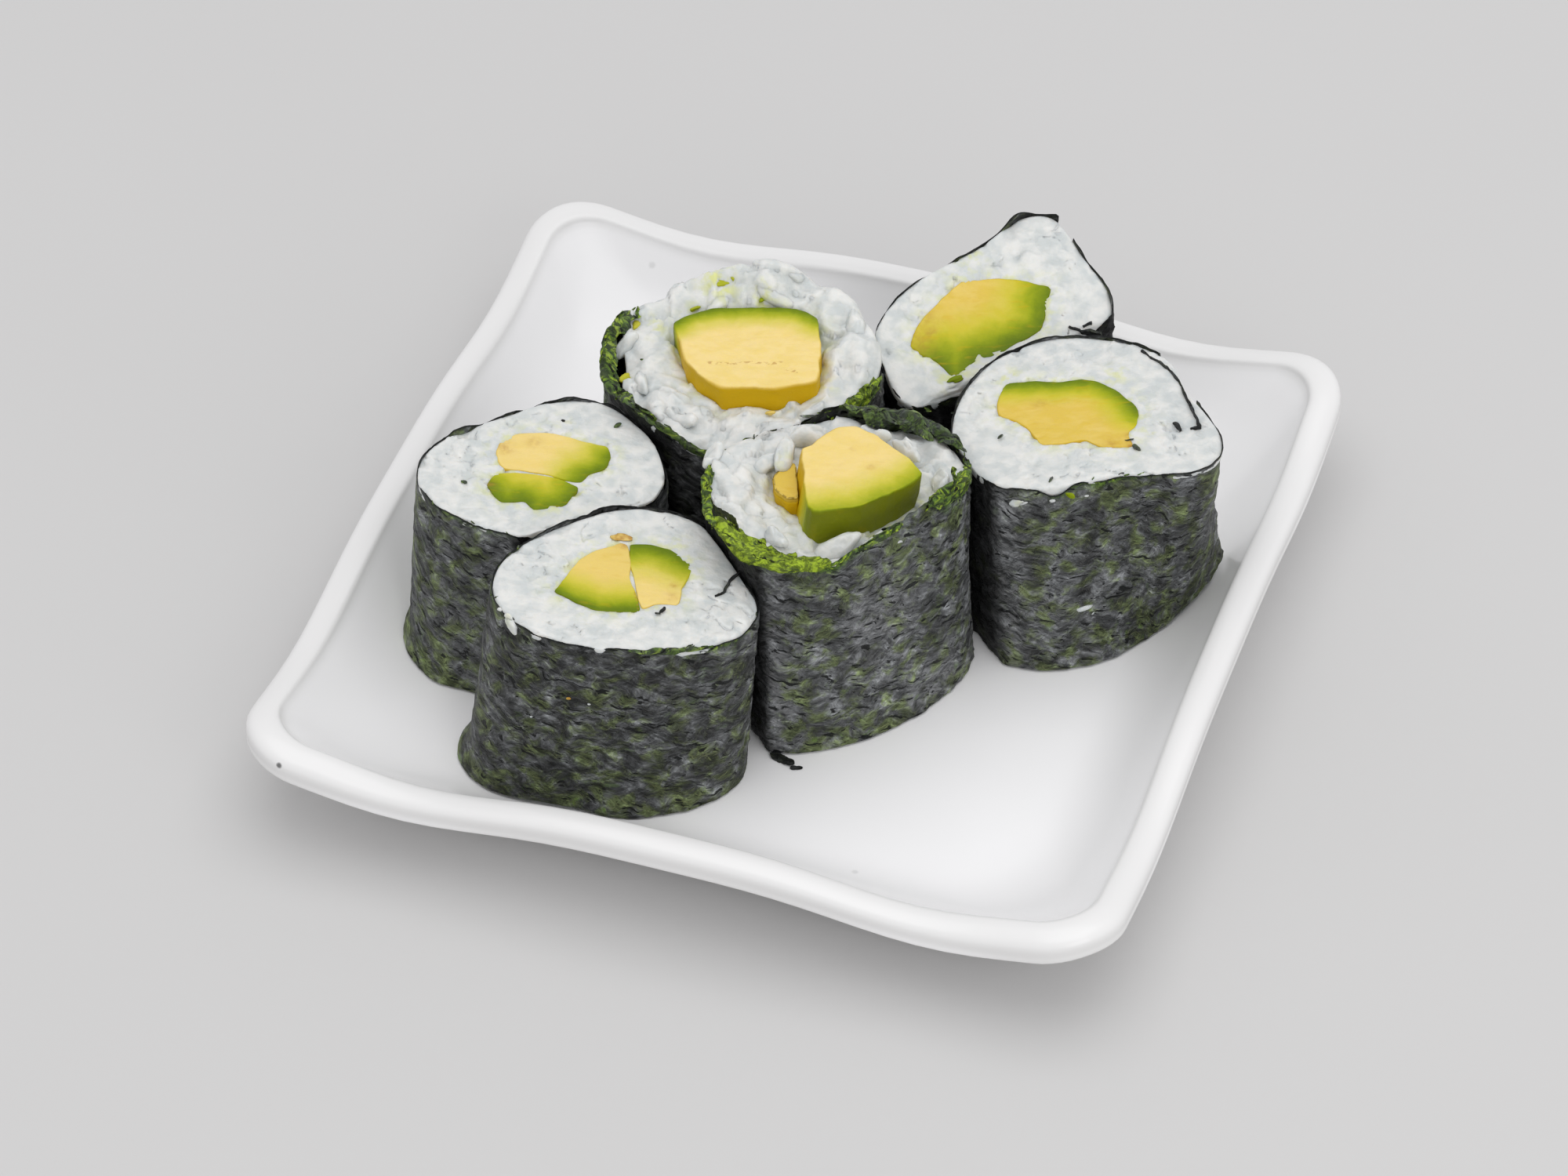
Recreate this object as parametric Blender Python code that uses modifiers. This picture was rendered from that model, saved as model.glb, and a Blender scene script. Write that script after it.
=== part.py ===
"""Six cut pieces of avocado roll standing on a square dish.

The dish is one thin-walled body with a beaded, slightly flared rim.  Each piece of
roll is a wrapped seaweed sheet, a body of rice inside it and the fruit that runs
through the rice.  Metres, +Z up, origin under the middle of the dish.
"""

import math

import bmesh
import bpy
from mathutils import Matrix, Vector

MM = 0.001

# Dish, in millimetres.
DISH_HALF = 63.5
DISH_CORNER = 10.0
BEAD_WIDTH = 4.6
BEAD_CORNER = 7.0
OUTER_FACE = 2.5
WALL_RUN = 14.0
WALL_CURVE = 2.2
FLOOR_CORNER = 15.0
FLOOR_TOP = 5.5
RIM_TOP = 15.3
RIM_WAVE = (0.43, 1.25, -0.59)
SHELL = 2.8
FOOT_HALF = 40.0
FOOT_CORNER = 13.0
FOOT_WIDTH = 3.0
FOOT_DEPTH = 2.4
SIDE_STEPS = 6
CORNER_STEPS = 6
WALL_RINGS = 6

# Wrapped sheet, rice and fruit, in millimetres.
SHEET = 0.5
GAP = 0.3
STAND_OFF = 0.4
CHORD_SLACK = 0.1
SEAM_LIFT_DEG = 26.0
WRAP_STEPS = 36
LEVELS = 2
CUTTER_REACH = 0.3


class Roll:
    """One piece: where it stands, how it leans, and the outline that its wrap follows."""

    def __init__(self, name, head, foot, height, half, turn, egg=(0.0, 0.0), nose=(0.0, 0.0, 25.0),
                 foot_nose=1.0, foot_egg=None, flare=1.0, tilt=(0.0, 0.0), seam=0.0, wrap=370.0, edge=None,
                 heap=None):
        self.name = name
        self.head = Vector((head[0], head[1], FLOOR_TOP + height))
        self.foot = Vector((foot[0], foot[1], FLOOR_TOP))
        self.half = half
        self.turn = math.radians(turn)
        foot_egg = foot_egg or egg
        self.egg = (egg[0], math.radians(egg[1]))
        self.foot_egg = (foot_egg[0], math.radians(foot_egg[1]))
        self.nose = (nose[0], math.radians(nose[1]), math.radians(nose[2]))
        self.foot_nose = foot_nose
        self.flare = flare
        self.seam = math.radians(seam)
        self.step = 2.0 * math.pi / round(360.0 * WRAP_STEPS / wrap)
        self.wrap = self.step * WRAP_STEPS
        self.edge = edge or (lambda angle: 0.0)
        self.heap = heap or (lambda angle, share: 0.0)
        lean = Vector((head[0] - foot[0], head[1] - foot[1], height)) / height
        self.axis = Vector((lean.x + tilt[0], lean.y + tilt[1], 1.0)).normalized()
        self.along_x = (Vector((1.0, 0.0, 0.0)) - self.axis * self.axis.x).normalized()
        self.along_y = self.axis.cross(self.along_x)

    def reach(self, angle, egg, nose_share):
        """Distance from the middle to the outline, in the direction of the angle."""
        long_half, short_half = self.half
        turned = angle - self.turn
        reach = long_half * short_half / math.hypot(short_half * math.cos(turned), long_half * math.sin(turned))
        reach *= 1.0 + egg[0] * math.cos(3.0 * (angle - egg[1]))
        off = (angle - self.nose[1] + math.pi) % (2.0 * math.pi) - math.pi
        return reach + nose_share * self.nose[0] * math.exp(-((off / self.nose[2]) ** 2))

    def top_point(self, across, along, rise):
        """A point given in the plane of the cut, lifted along the axis."""
        return self.head + self.along_x * across + self.along_y * along + self.axis * rise

    def point(self, angle, share, inset, level, rise=0.0):
        """A point of the body: share 1 is the outline less the inset, level 0 the dish and 1 the cut."""
        top_reach = max(self.reach(angle, self.egg, 1.0) - inset, 0.0) * share
        top = self.top_point(top_reach * math.cos(angle), top_reach * math.sin(angle), 0.0)
        foot_reach = max(self.reach(angle, self.foot_egg, self.foot_nose) * self.flare - inset, 0.0) * share
        foot = self.foot + Vector((foot_reach * math.cos(angle), foot_reach * math.sin(angle), 0.0))
        foot = pressed(foot, self, inset)
        outward = foot + (foot - self.foot).normalized() * SHEET * share
        foot.z = dish_height(outward.x, outward.y) + STAND_OFF
        return pressed(foot.lerp(top, level + rise / (top.z - foot.z)), self, inset)


def flat_edge(angle):
    return 0.0


def torn_back(angle):
    """The wrap of the left end piece is torn away low at the back."""
    back = 0.5 + 0.5 * math.cos(angle - math.radians(65.0))
    return 0.5 - 4.5 * back ** 2 + 0.5 * math.sin(5.0 * angle)


def torn_front(angle):
    """The wrap of the middle end piece stands up round the rice, highest at its corners."""
    left = math.exp(-((angle_between(angle, math.radians(205.0)) / 0.5) ** 2))
    return 0.2 + 1.2 * left + 0.5 * math.sin(3.0 * angle + 0.6) + 0.3 * math.sin(7.0 * angle)


def back_heap(angle, share):
    """Loose rice heaped up at the back of the left end piece."""
    back = 0.5 + 0.5 * math.cos(angle - math.radians(95.0))
    return -0.8 + 7.0 * back ** 1.5 * share + 0.6 * math.sin(4.0 * angle + 5.0 * share)


def sunk_heap(angle, share):
    """Loose rice sunk inside the wrap of the middle end piece, higher on the left."""
    left = 0.5 + 0.5 * math.cos(angle - math.radians(190.0))
    return -3.0 + 2.6 * left * share + 0.5 * math.sin(5.0 * angle + 4.0 * share)


def pressed_flat(angle, share):
    """A knife-cut face, all but flat."""
    return -0.12 + 0.1 * math.sin(4.0 * angle + 6.0 * share) * share


ROLLS = {
    "1": Roll("1", (-14.6, 14.6), (-14.0, 14.5), 30.0, (20.2, 17.5), 25.0, egg=(0.03, 49.0), seam=150.0,
              edge=torn_back, heap=back_heap),
    "2": Roll("2", (-33.3, -15.6), (-35.2, -17.4), 30.5, (17.0, 14.5), 48.0, egg=(0.09, -39.0),
              nose=(2.1, 17.0, 24.0), flare=1.02, seam=15.0, edge=flat_edge, heap=pressed_flat),
    "3": Roll("3", (-15.1, -34.0), (-18.2, -35.4), 31.5, (17.3, 13.9), 41.0, egg=(0.05, -29.0),
              foot_egg=(0.076, -32.0), nose=(4.0, -1.0, 30.0), flare=1.07, seam=-1.0, edge=flat_edge, heap=pressed_flat),
    "4": Roll("4", (6.6, -9.4), (6.9, -9.8), 34.0, (19.7, 16.1), 57.0, egg=(0.06, 30.0),
              foot_egg=(0.06, 14.0), flare=1.037, seam=100.0, edge=torn_front, heap=sunk_heap),
    "5": Roll("5", (32.7, 17.8), (35.9, 17.2), 32.0, (18.0, 15.7), 59.0, egg=(0.04, 17.0),
              foot_egg=(0.1, 14.0), nose=(8.8, -15.0, 23.0), foot_nose=0.0, flare=1.07, seam=22.0, wrap=324.0,
              edge=flat_edge, heap=pressed_flat),
    "6": Roll("6", (16.6, 33.9), (14.0, 40.5), 29.0, (18.2, 13.2), 42.0, nose=(6.0, 87.0, 20.0),
              foot_nose=0.3, tilt=(0.02, -0.08), seam=70.0, wrap=350.0, edge=flat_edge, heap=pressed_flat),
}

# Neighbours squash each other flat: first roll, second roll, direction from one to the
# other in degrees, and how far the flat lies from the origin in that direction.
CONTACTS = (
    ("1", "2", 240.0, 13.0),
    ("1", "4", -45.0, -3.9),
    ("1", "6", 38.0, 17.1),
    ("2", "3", -45.0, -0.9),
    ("3", "4", 45.0, -18.8),
    ("4", "5", 45.0, 18.5),
    ("5", "6", 135.0, 6.2),
)

# Fruit: roll, height above the cut, and the corners of the slice in the plane of the cut.
FRUIT = {
    "1": ("1", 3.6, ((-11.8, 3.0), (-8.9, 5.4), (-2.5, 8.7), (4.7, 9.8), (7.9, 9.3), (9.8, 6.8), (12.6, -3.0),
                     (9.3, -6.4), (5.5, -8.4), (-0.1, -9.3), (-3.4, -7.8), (-7.8, -3.2))),
    "2a": ("2", 0.3, ((-8.0, 1.5), (-6.0, 7.0), (-0.8, 8.7), (4.0, 8.2), (6.6, 8.2), (8.0, 5.4), (6.8, 0.0),
                      (-0.3, -0.6), (-6.2, -1.3))),
    "2b": ("2", 0.1, ((-7.4, -5.0), (-6.2, -2.2), (-0.3, -1.0), (5.6, -0.5), (5.6, -5.4), (2.0, -7.9),
                      (-1.3, -7.3), (-4.0, -8.2))),
    "3a": ("3", 0.2, ((-8.2, -5.2), (-7.3, -1.6), (-5.8, 3.4), (-3.9, 6.4), (-1.6, 7.1), (1.9, 1.6), (4.2, -3.6),
                      (4.3, -4.8), (-0.1, -7.3), (-5.2, -6.8))),
    "3b": ("3", 0.2, ((-1.1, 7.4), (3.3, 8.9), (7.9, 7.5), (9.3, 4.6), (8.6, 0.6), (8.4, -2.2), (6.4, -4.2),
                      (4.8, -3.8), (2.4, 2.0))),
    "4a": ("4", 4.2, ((-5.3, 2.4), (-2.9, 4.9), (-1.9, 7.4), (0.1, 8.8), (2.6, 7.8), (7.1, 5.6), (12.6, 2.8),
                      (12.4, -0.4), (9.0, -5.3), (5.7, -8.4), (1.0, -10.8))),
    "4b": ("4", 1.2, ((-7.6, 5.6), (-7.6, -0.6), (-5.2, -7.6), (-1.2, -9.4), (-3.4, -3.0), (-5.7, 3.0))),
    "5": ("5", 0.2, ((-10.4, 2.8), (-6.7, 5.6), (-1.0, 7.4), (3.4, 7.6), (6.8, 6.0), (9.6, 3.0), (10.6, -1.6),
                     (10.2, -5.8), (4.0, -7.0), (-0.8, -8.4), (-3.6, -7.0), (-5.4, -4.6), (-9.2, -2.8))),
    "6": ("6", 0.2, ((-10.7, -3.6), (-8.9, 3.0), (-6.6, 6.6), (-0.6, 9.2), (5.2, 9.6), (7.3, 6.8), (6.2, 2.0),
                     (2.2, -1.9), (-1.0, -6.0), (-3.0, -8.4), (-5.6, -7.9), (-8.7, -7.0))),
}

COLOURS = {
    "plate": (0.93, 0.93, 0.94, 1.0),
    "nori": (0.035, 0.05, 0.04, 1.0),
    "rice": (0.82, 0.84, 0.83, 1.0),
    "avocado": (0.78, 0.66, 0.22, 1.0),
}


def angle_between(first, second):
    return (first - second + math.pi) % (2.0 * math.pi) - math.pi


# Dish -------------------------------------------------------------------------------------


def rim_wave(x, y):
    """How far the rim rises at the corners and dips between them."""
    share = min(abs(x), abs(y)) / max(abs(x), abs(y), 1e-9)
    return sum(size * math.cos((turn + 1) * math.pi * share) for turn, size in enumerate(RIM_WAVE))


def wall_ring(share):
    """Half side and corner radius of the dish's inside at this share of the wall, floor edge to bead."""
    bead_inner = DISH_HALF - BEAD_WIDTH
    half = bead_inner - WALL_RUN * (1.0 - share)
    return half, FLOOR_CORNER + (BEAD_CORNER - FLOOR_CORNER) * share


def outside_square(x, y, half, corner):
    """Distance outside a square with round corners, negative inside."""
    across = abs(x) - half + corner
    along = abs(y) - half + corner
    outside = math.hypot(max(across, 0.0), max(along, 0.0))
    return outside + min(max(across, along), 0.0) - corner


def wall_height(share, x, y):
    depth = RIM_TOP - FLOOR_TOP + rim_wave(x, y)
    return FLOOR_TOP + depth * share ** WALL_CURVE


def dish_height(x, y):
    """Height of the dish's upper face, found by halving the share of the wall."""
    low, high = 0.0, 1.0
    if outside_square(x, y, *wall_ring(0.0)) <= 0.0:
        return FLOOR_TOP
    for _ in range(24):
        middle = 0.5 * (low + high)
        if outside_square(x, y, *wall_ring(middle)) > 0.0:
            low = middle
        else:
            high = middle
    return wall_height(high, x, y)


def square_ring(half, corner, height):
    """Points round a square with round corners; height is a function of the point."""
    points = []
    straight = half - corner
    for quarter in range(4):
        turn = Matrix.Rotation(quarter * math.pi / 2.0, 3, "Z")
        for step in range(SIDE_STEPS):
            points.append(turn @ Vector((half, straight * (2.0 * step / SIDE_STEPS - 1.0), 0.0)))
        for step in range(CORNER_STEPS):
            angle = step * math.pi / 2.0 / CORNER_STEPS
            arm = Vector((straight + corner * math.cos(angle), straight + corner * math.sin(angle), 0.0))
            points.append(turn @ arm)
    for point in points:
        point.z = height(point.x, point.y)
    return points


def dish_rings():
    """Rings from the middle of the floor, over the bead and back under to the foot."""
    rings = []
    for index in range(WALL_RINGS + 1):
        share = index / WALL_RINGS
        half, corner = wall_ring(share)
        rings.append(square_ring(half, corner, lambda x, y, s=share: wall_height(s, x, y)))
    inner = DISH_HALF - BEAD_WIDTH
    bead = ((0.10, 0.75), (0.30, 1.05), (0.62, 1.0), (0.86, 0.62), (0.985, -0.1))
    for across, rise in bead:
        corner = BEAD_CORNER + (DISH_CORNER - BEAD_CORNER) * across
        half = inner + BEAD_WIDTH * across
        rings.append(square_ring(half, corner, lambda x, y, r=rise: RIM_TOP + rim_wave(x, y) + r))
    low = RIM_TOP - OUTER_FACE
    for across, drop in ((0.0, 0.9), (0.0, 0.0), (0.7, -0.35), (1.6, -0.3)):
        rings.append(square_ring(DISH_HALF - across, DISH_CORNER - 0.5 * across,
                                 lambda x, y, d=drop: low + rim_wave(x, y) + d))
    for share in (0.82, 0.6, 0.38, 0.16):
        half, corner = wall_ring(share)
        rings.append(square_ring(half + 1.4, corner + 1.0,
                                 lambda x, y, s=share: wall_height(s, x, y) - SHELL * (1.08 - 0.05 * s)))
    under = FLOOR_TOP - SHELL - 0.2
    rings.append(square_ring(FOOT_HALF + 0.5, FOOT_CORNER, lambda x, y: under))
    rings.append(square_ring(FOOT_HALF, FOOT_CORNER, lambda x, y: 0.35))
    rings.append(square_ring(FOOT_HALF - 0.4, FOOT_CORNER - 0.2, lambda x, y: 0.0))
    rings.append(square_ring(FOOT_HALF - FOOT_WIDTH, FOOT_CORNER - 1.5, lambda x, y: 0.0))
    rings.append(square_ring(FOOT_HALF - FOOT_WIDTH - 0.8, FOOT_CORNER - 1.8, lambda x, y: FOOT_DEPTH))
    return rings


def skin_rings(rings, closed_ends):
    """A closed body through rings of equal length, its ends closed by flat faces."""
    mesh = bmesh.new()
    rows = [[mesh.verts.new(point) for point in ring] for ring in rings]
    for lower, upper in zip(rows, rows[1:]):
        for index in range(len(lower)):
            after = (index + 1) % len(lower)
            mesh.faces.new((lower[index], lower[after], upper[after], upper[index]))
    if closed_ends:
        mesh.faces.new(rows[0])
        mesh.faces.new(list(reversed(rows[-1])))
    bmesh.ops.recalc_face_normals(mesh, faces=mesh.faces)
    return mesh


# Rolls ------------------------------------------------------------------------------------


def pressed(point, roll, inset):
    """Moves a point back where a neighbour squashes the roll flat."""
    moved = point.copy()
    for first, second, degrees, distance in CONTACTS:
        if roll.name not in (first, second):
            continue
        side = 1.0 if roll.name == first else -1.0
        toward = Vector((math.cos(math.radians(degrees)), math.sin(math.radians(degrees)), 0.0)) * side
        room = side * distance - GAP / 2.0 - inset - moved.dot(toward)
        soft = 0.35
        if room < 6.0 * soft:
            eased = soft * math.log1p(math.exp(min(room / soft, 40.0)))
            moved += toward * (room - eased)
    return moved


def wrap_mesh(roll):
    """The seaweed's inner face: a strip wound once round the rice, its outer end lifted over its inner end."""
    spare = max(roll.wrap - 2.0 * math.pi, 0.0)
    lift_run = math.radians(SEAM_LIFT_DEG)
    lift_from = roll.wrap - spare - lift_run
    mesh = bmesh.new()
    columns = []
    for step in range(WRAP_STEPS + 1):
        run = roll.step * step
        angle = roll.seam - run
        lift = 0.0
        if spare > 0.0 and run > lift_from:
            share = min((run - lift_from) / lift_run, 1.0)
            lift = (SHEET + GAP) * share * share * (3.0 - 2.0 * share)
        column = []
        for level in range(LEVELS + 1):
            height = level / LEVELS
            point = roll.point(angle, 1.0, SHEET - lift, height, roll.edge(angle) * height)
            column.append(mesh.verts.new(point))
        columns.append(column)
    for left, right in zip(columns, columns[1:]):
        for level in range(LEVELS):
            mesh.faces.new((left[level], left[level + 1], right[level + 1], right[level]))
    return mesh


def rice_mesh(roll):
    """The rice inside the wrap: rings from the middle of the underside up to the middle of the top."""
    inset = SHEET + GAP + CHORD_SLACK
    layers = [(0.45, 0.0), (0.8, 0.0), (1.0, 0.0), (1.0, 0.5), (1.0, 1.0), (0.93, 1.0), (0.72, 1.0), (0.4, 1.0)]
    around = round(2.0 * math.pi / roll.step)
    mesh = bmesh.new()
    rows = []
    for order, (share, level) in enumerate(layers):
        row = []
        for step in range(around):
            angle = roll.seam - roll.step * step
            rise = roll.heap(angle, share) if level == 1.0 else 0.0
            if order == 4:
                rise -= 0.5
            row.append(mesh.verts.new(roll.point(angle, share, inset, level, rise)))
        rows.append(row)
    for lower, upper in zip(rows, rows[1:]):
        for index in range(around):
            after = (index + 1) % around
            mesh.faces.new((lower[index], lower[after], upper[after], upper[index]))
    for row, level in ((rows[0], 0.0), (rows[-1], 1.0)):
        rise = roll.heap(0.0, 0.0) if level else 0.0
        hub = mesh.verts.new(roll.point(0.0, 0.0, inset, level, rise))
        for index in range(around):
            mesh.faces.new((hub, row[index], row[(index + 1) % around]))
    bmesh.ops.recalc_face_normals(mesh, faces=mesh.faces)
    return mesh


def rounded(corners):
    """Cuts every corner once, so that the slice has no sharp edge."""
    points = []
    for index, corner in enumerate(corners):
        here = Vector(corner)
        before = Vector(corners[index - 1])
        after = Vector(corners[(index + 1) % len(corners)])
        points.append(here.lerp(before, 0.2))
        points.append(here.lerp(after, 0.2))
    return points


def grown(points, amount):
    """Moves an outline that runs either way round outward by the amount."""
    area = sum(points[i - 1].cross(points[i]) for i in range(len(points)))
    way = 1.0 if area > 0.0 else -1.0
    moved = []
    for index, point in enumerate(points):
        along = (points[(index + 1) % len(points)] - points[index - 1]).normalized()
        moved.append(point + Vector((along.y, -along.x)) * way * amount)
    return moved


def fruit_mesh(roll, corners, rise, clear, reach):
    """A slice of fruit through the whole roll, from the dish up to its own top.

    A reach above zero carries both ends on along the same lines, for a cutter.
    """
    outline = grown(rounded(corners), clear)
    middle = sum(outline, Vector((0.0, 0.0))) / len(outline)
    low, high, crown = [], [], []
    for spot in outline:
        foot = roll.foot + Vector((spot.x * 0.96, spot.y * 0.96, 0.0))
        foot.z = dish_height(foot.x, foot.y) + STAND_OFF
        top = roll.top_point(spot.x, spot.y, rise - 0.5)
        inner = middle + (spot - middle) * 0.93
        low.append(foot.lerp(top, -reach))
        high.append(foot.lerp(top, 1.0 + reach))
        crown.append(roll.top_point(inner.x, inner.y, rise))
    return skin_rings([low, high] if reach else [low, high, crown], True)


# Objects ----------------------------------------------------------------------------------


def material(slot, name):
    found = bpy.data.materials.new(name)
    found.use_nodes = True
    shader = found.node_tree.nodes["Principled BSDF"]
    shader.inputs["Base Color"].default_value = COLOURS[slot]
    shader.inputs["Roughness"].default_value = 0.3 if slot == "plate" else 0.55
    return found


def solid(name, mesh, slot, collection, base):
    """An object standing at its base point, with its mesh measured from there."""
    bmesh.ops.translate(mesh, vec=-base, verts=mesh.verts)
    bmesh.ops.scale(mesh, vec=(MM, MM, MM), verts=mesh.verts)
    data = bpy.data.meshes.new(name)
    mesh.to_mesh(data)
    mesh.free()
    made = bpy.data.objects.new(name, data)
    made.location = base * MM
    collection.objects.link(made)
    if slot:
        data.materials.append(material(slot, name))
    return made


def thicken(sheet):
    """Gives the seaweed its thickness, outward from the rice."""
    shell = sheet.modifiers.new("thickness", "SOLIDIFY")
    shell.thickness = SHEET * MM
    shell.offset = 1.0
    shell.use_even_offset = True


def cut(target, cutter):
    cutter.hide_render = True
    cutter.display_type = "WIRE"
    hole = target.modifiers.new("hole_" + cutter.name, "BOOLEAN")
    hole.operation = "DIFFERENCE"
    hole.solver = "EXACT"
    hole.object = cutter


def main():
    for old in list(bpy.data.objects):
        bpy.data.objects.remove(old, do_unlink=True)
    parts = bpy.data.collections.new("maki_roll_dish")
    cutters = bpy.data.collections.new("cutters")
    for collection in (parts, cutters):
        bpy.context.scene.collection.children.link(collection)
    solid("plate", skin_rings(dish_rings(), True), "plate", parts, Vector((0.0, 0.0, 0.0)))
    rice = {}
    for name, roll in ROLLS.items():
        thicken(solid("nori_" + name, wrap_mesh(roll), "nori", parts, roll.foot))
        rice[name] = solid("rice_" + name, rice_mesh(roll), "rice", parts, roll.foot)
    for name, (roll_name, rise, corners) in FRUIT.items():
        roll = ROLLS[roll_name]
        solid("avocado_" + name, fruit_mesh(roll, corners, rise, -GAP / 2.0, 0.0), "avocado", parts, roll.foot)
        hole = fruit_mesh(roll, corners, rise, GAP / 2.0 + 0.05, CUTTER_REACH)
        cut(rice[roll_name], solid("hole_" + name, hole, None, cutters, roll.foot))


main()
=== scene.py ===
"""Dresses six pieces of avocado roll and their square dish: seaweed, rice grain by grain, fruit and crumbs."""

import math

import bmesh
import bpy
import numpy as np
from bpy.props import FloatProperty, FloatVectorProperty, IntProperty, PointerProperty
from bpy.types import Operator, Panel, PropertyGroup
from mathutils import Euler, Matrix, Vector


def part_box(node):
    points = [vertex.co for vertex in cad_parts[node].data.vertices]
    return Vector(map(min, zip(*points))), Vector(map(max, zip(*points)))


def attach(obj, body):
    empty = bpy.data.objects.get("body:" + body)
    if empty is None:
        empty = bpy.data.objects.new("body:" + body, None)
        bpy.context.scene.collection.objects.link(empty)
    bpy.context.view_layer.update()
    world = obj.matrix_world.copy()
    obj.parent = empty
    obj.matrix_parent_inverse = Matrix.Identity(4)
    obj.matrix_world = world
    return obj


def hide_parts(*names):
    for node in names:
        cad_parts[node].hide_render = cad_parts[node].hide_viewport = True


bl_info = {
    "name": "Avocado Roll Dish",
    "version": (1, 0, 0),
    "blender": (4, 5, 0),
    "location": "3D View > Sidebar > Roll Dish",
    "description": "Builds the dish, seaweed, rice, avocado and crumbs of a plate of avocado rolls",
    "category": "Object",
}

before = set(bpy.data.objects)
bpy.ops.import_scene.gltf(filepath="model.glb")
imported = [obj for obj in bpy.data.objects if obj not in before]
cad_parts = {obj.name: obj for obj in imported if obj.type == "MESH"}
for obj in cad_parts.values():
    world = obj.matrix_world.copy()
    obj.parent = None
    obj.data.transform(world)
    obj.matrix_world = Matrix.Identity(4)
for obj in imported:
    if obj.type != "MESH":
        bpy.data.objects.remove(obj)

MM = 0.001
BODY = "root"

DISH_LOW, DISH_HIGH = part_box("plate")
DISH_HALF = (DISH_HIGH.x - DISH_LOW.x) / 2.0 / MM

# Dish, in millimetres.
DISH_CORNER = 10.0
BEAD_WIDTH = 4.6
BEAD_CORNER = 7.0
OUTER_FACE = 2.5
WALL_RUN = 14.0
WALL_CURVE = 2.2
FLOOR_CORNER = 15.0
FLOOR_TOP = 5.5
RIM_TOP = 15.3
RIM_WAVE = (0.43, 1.25, -0.59)
SHELL = 2.8
FOOT_HALF = 40.0
FOOT_CORNER = 13.0
FOOT_WIDTH = 3.0
FOOT_DEPTH = 2.4
SIDE_STEPS = 26
CORNER_STEPS = 12
WALL_STEPS = 8
CURVE_STEPS = 4
HALVINGS = 24

# Rings of the dish: shares of the floor; how far over the bead and how high above the rim; how far in from the
# outer face and how far above its foot; shares of the wall from below; half side, corner and height of the foot.
FLOOR_SHARES = (0.05, 0.3, 0.55, 0.8, 0.93)
BEAD_RINGS = ((0.10, 0.75), (0.30, 1.05), (0.62, 1.0), (0.86, 0.62), (0.985, -0.1))
FACE_RINGS = ((0.0, 0.9), (0.0, 0.0), (0.7, -0.35), (1.6, -0.3))
UNDER_SHARES = (0.82, 0.6, 0.38, 0.16)
FOOT_RINGS = ((FOOT_HALF + 0.5, FOOT_CORNER, FLOOR_TOP - SHELL - 0.2), (FOOT_HALF, FOOT_CORNER, 0.35),
              (FOOT_HALF - 0.4, FOOT_CORNER - 0.2, 0.0), (FOOT_HALF - FOOT_WIDTH, FOOT_CORNER - 1.5, 0.0),
              (FOOT_HALF - FOOT_WIDTH - 0.8, FOOT_CORNER - 1.8, FOOT_DEPTH),
              (FOOT_HALF * 0.6, FOOT_CORNER * 0.6, FOOT_DEPTH), (FOOT_HALF * 0.05, FOOT_CORNER * 0.05, FOOT_DEPTH))

# Rolls, in millimetres.
SHEET = 0.5
GAP = 0.3
STAND_OFF = 0.4
PRESS_SOFTNESS = 0.35
SEAM_LIFT = math.radians(26.0)
BACK = math.radians(110.0)

# Seaweed, in millimetres and steps.
SCRAP_HALF = 0.08
LONG_FLAP = 3.2
LONG_FLAP_STEPS = (15, 27)
FLAP_STEPS = (7, 13)
STRAND_STEPS = (5, 12)
FOLD_STEP = 0.36
FOLD_ROWS = 15
ROLLED_STEP = 0.22
ROLLED_ROWS = 6
ROLLED_HALF = 0.16

# Rice, in millimetres: rings up the side as share of the way out and level, rings at the rim and drops of the first.
SIDE_RINGS = ((0.4, 0.0), (0.9, 0.0), (1.0, 0.01), (1.0, 0.3), (1.0, 0.6), (1.0, 0.85))
SIDE_TONE = 0.4
RIM_SHARES = (1.0, 1.0, 0.995, 0.985, 0.97)
RIM_DROPS = (0.75, 0.25)
TRIES = 6000
CUT_LIMIT = 0.35
HEAP_SINK = 0.36
HEAP_INSET = 0.4
RIM_ROUND = 16.0

# Fruit, in millimetres: rings down the side and in over the top, and marks for what is far from all skin.
OUTLINE_STEPS = 170
SIDE_DROPS = (12.0, 9.0, 7.5, 6.5, 5.6, 4.8, 4.0, 3.3, 2.6, 2.0, 1.4, 0.9, 0.5)
EDGE_TURNS = (0.33, 0.66, 1.0)
TOP_SHARES = (0.955, 0.92, 0.88, 0.83, 0.78, 0.72, 0.66, 0.6, 0.53, 0.46, 0.39, 0.32, 0.25, 0.18, 0.11, 0.04)
LEAN_DEPTH = 9.0
NO_SKIN = 9.0
NO_SCAR = 5.0
MASHED_SKIN = 4.0

# Where the draws of chance begin.
STRAND_CHANCE = 77
RICE_CHANCE = 100
GRAIN_CHANCE = 900
SHEET_SEED = 40
RICE_SEED = 60
FRUIT_SEED = 300
FLAP_SEED = 500
FOLD_SEED = 540
FLAKE_SEED = 600
ROLLED_SEED = 640
SMEAR_SEED = 700
STUCK_SEED = 720

# Stage, in metres: place, aim and size of each lamp, and how far the floor goes.
KEY_LAMP = ((0.08, 0.02, 1.05), (0.0, 0.0, 0.0), (1.1, 1.1))
FILL_LAMP = ((0.65, -0.60, 0.45), (0.0, 0.0, 0.02), (0.6, 0.6))
SKY_COLOUR = (0.985, 0.985, 1.0, 1.0)
FLOOR_REACH = 3.0
FLOOR_LINES = 25
CAMERA_PLACE = (0.2113, -0.5926, 0.6064)
CAMERA_TURN = (46.48800, 0.84834, 19.13996)
CAMERA_LENS = 138.965
CAMERA_SENSOR = 36.0
CAMERA_CLIP = (0.05, 20.0)


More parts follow.
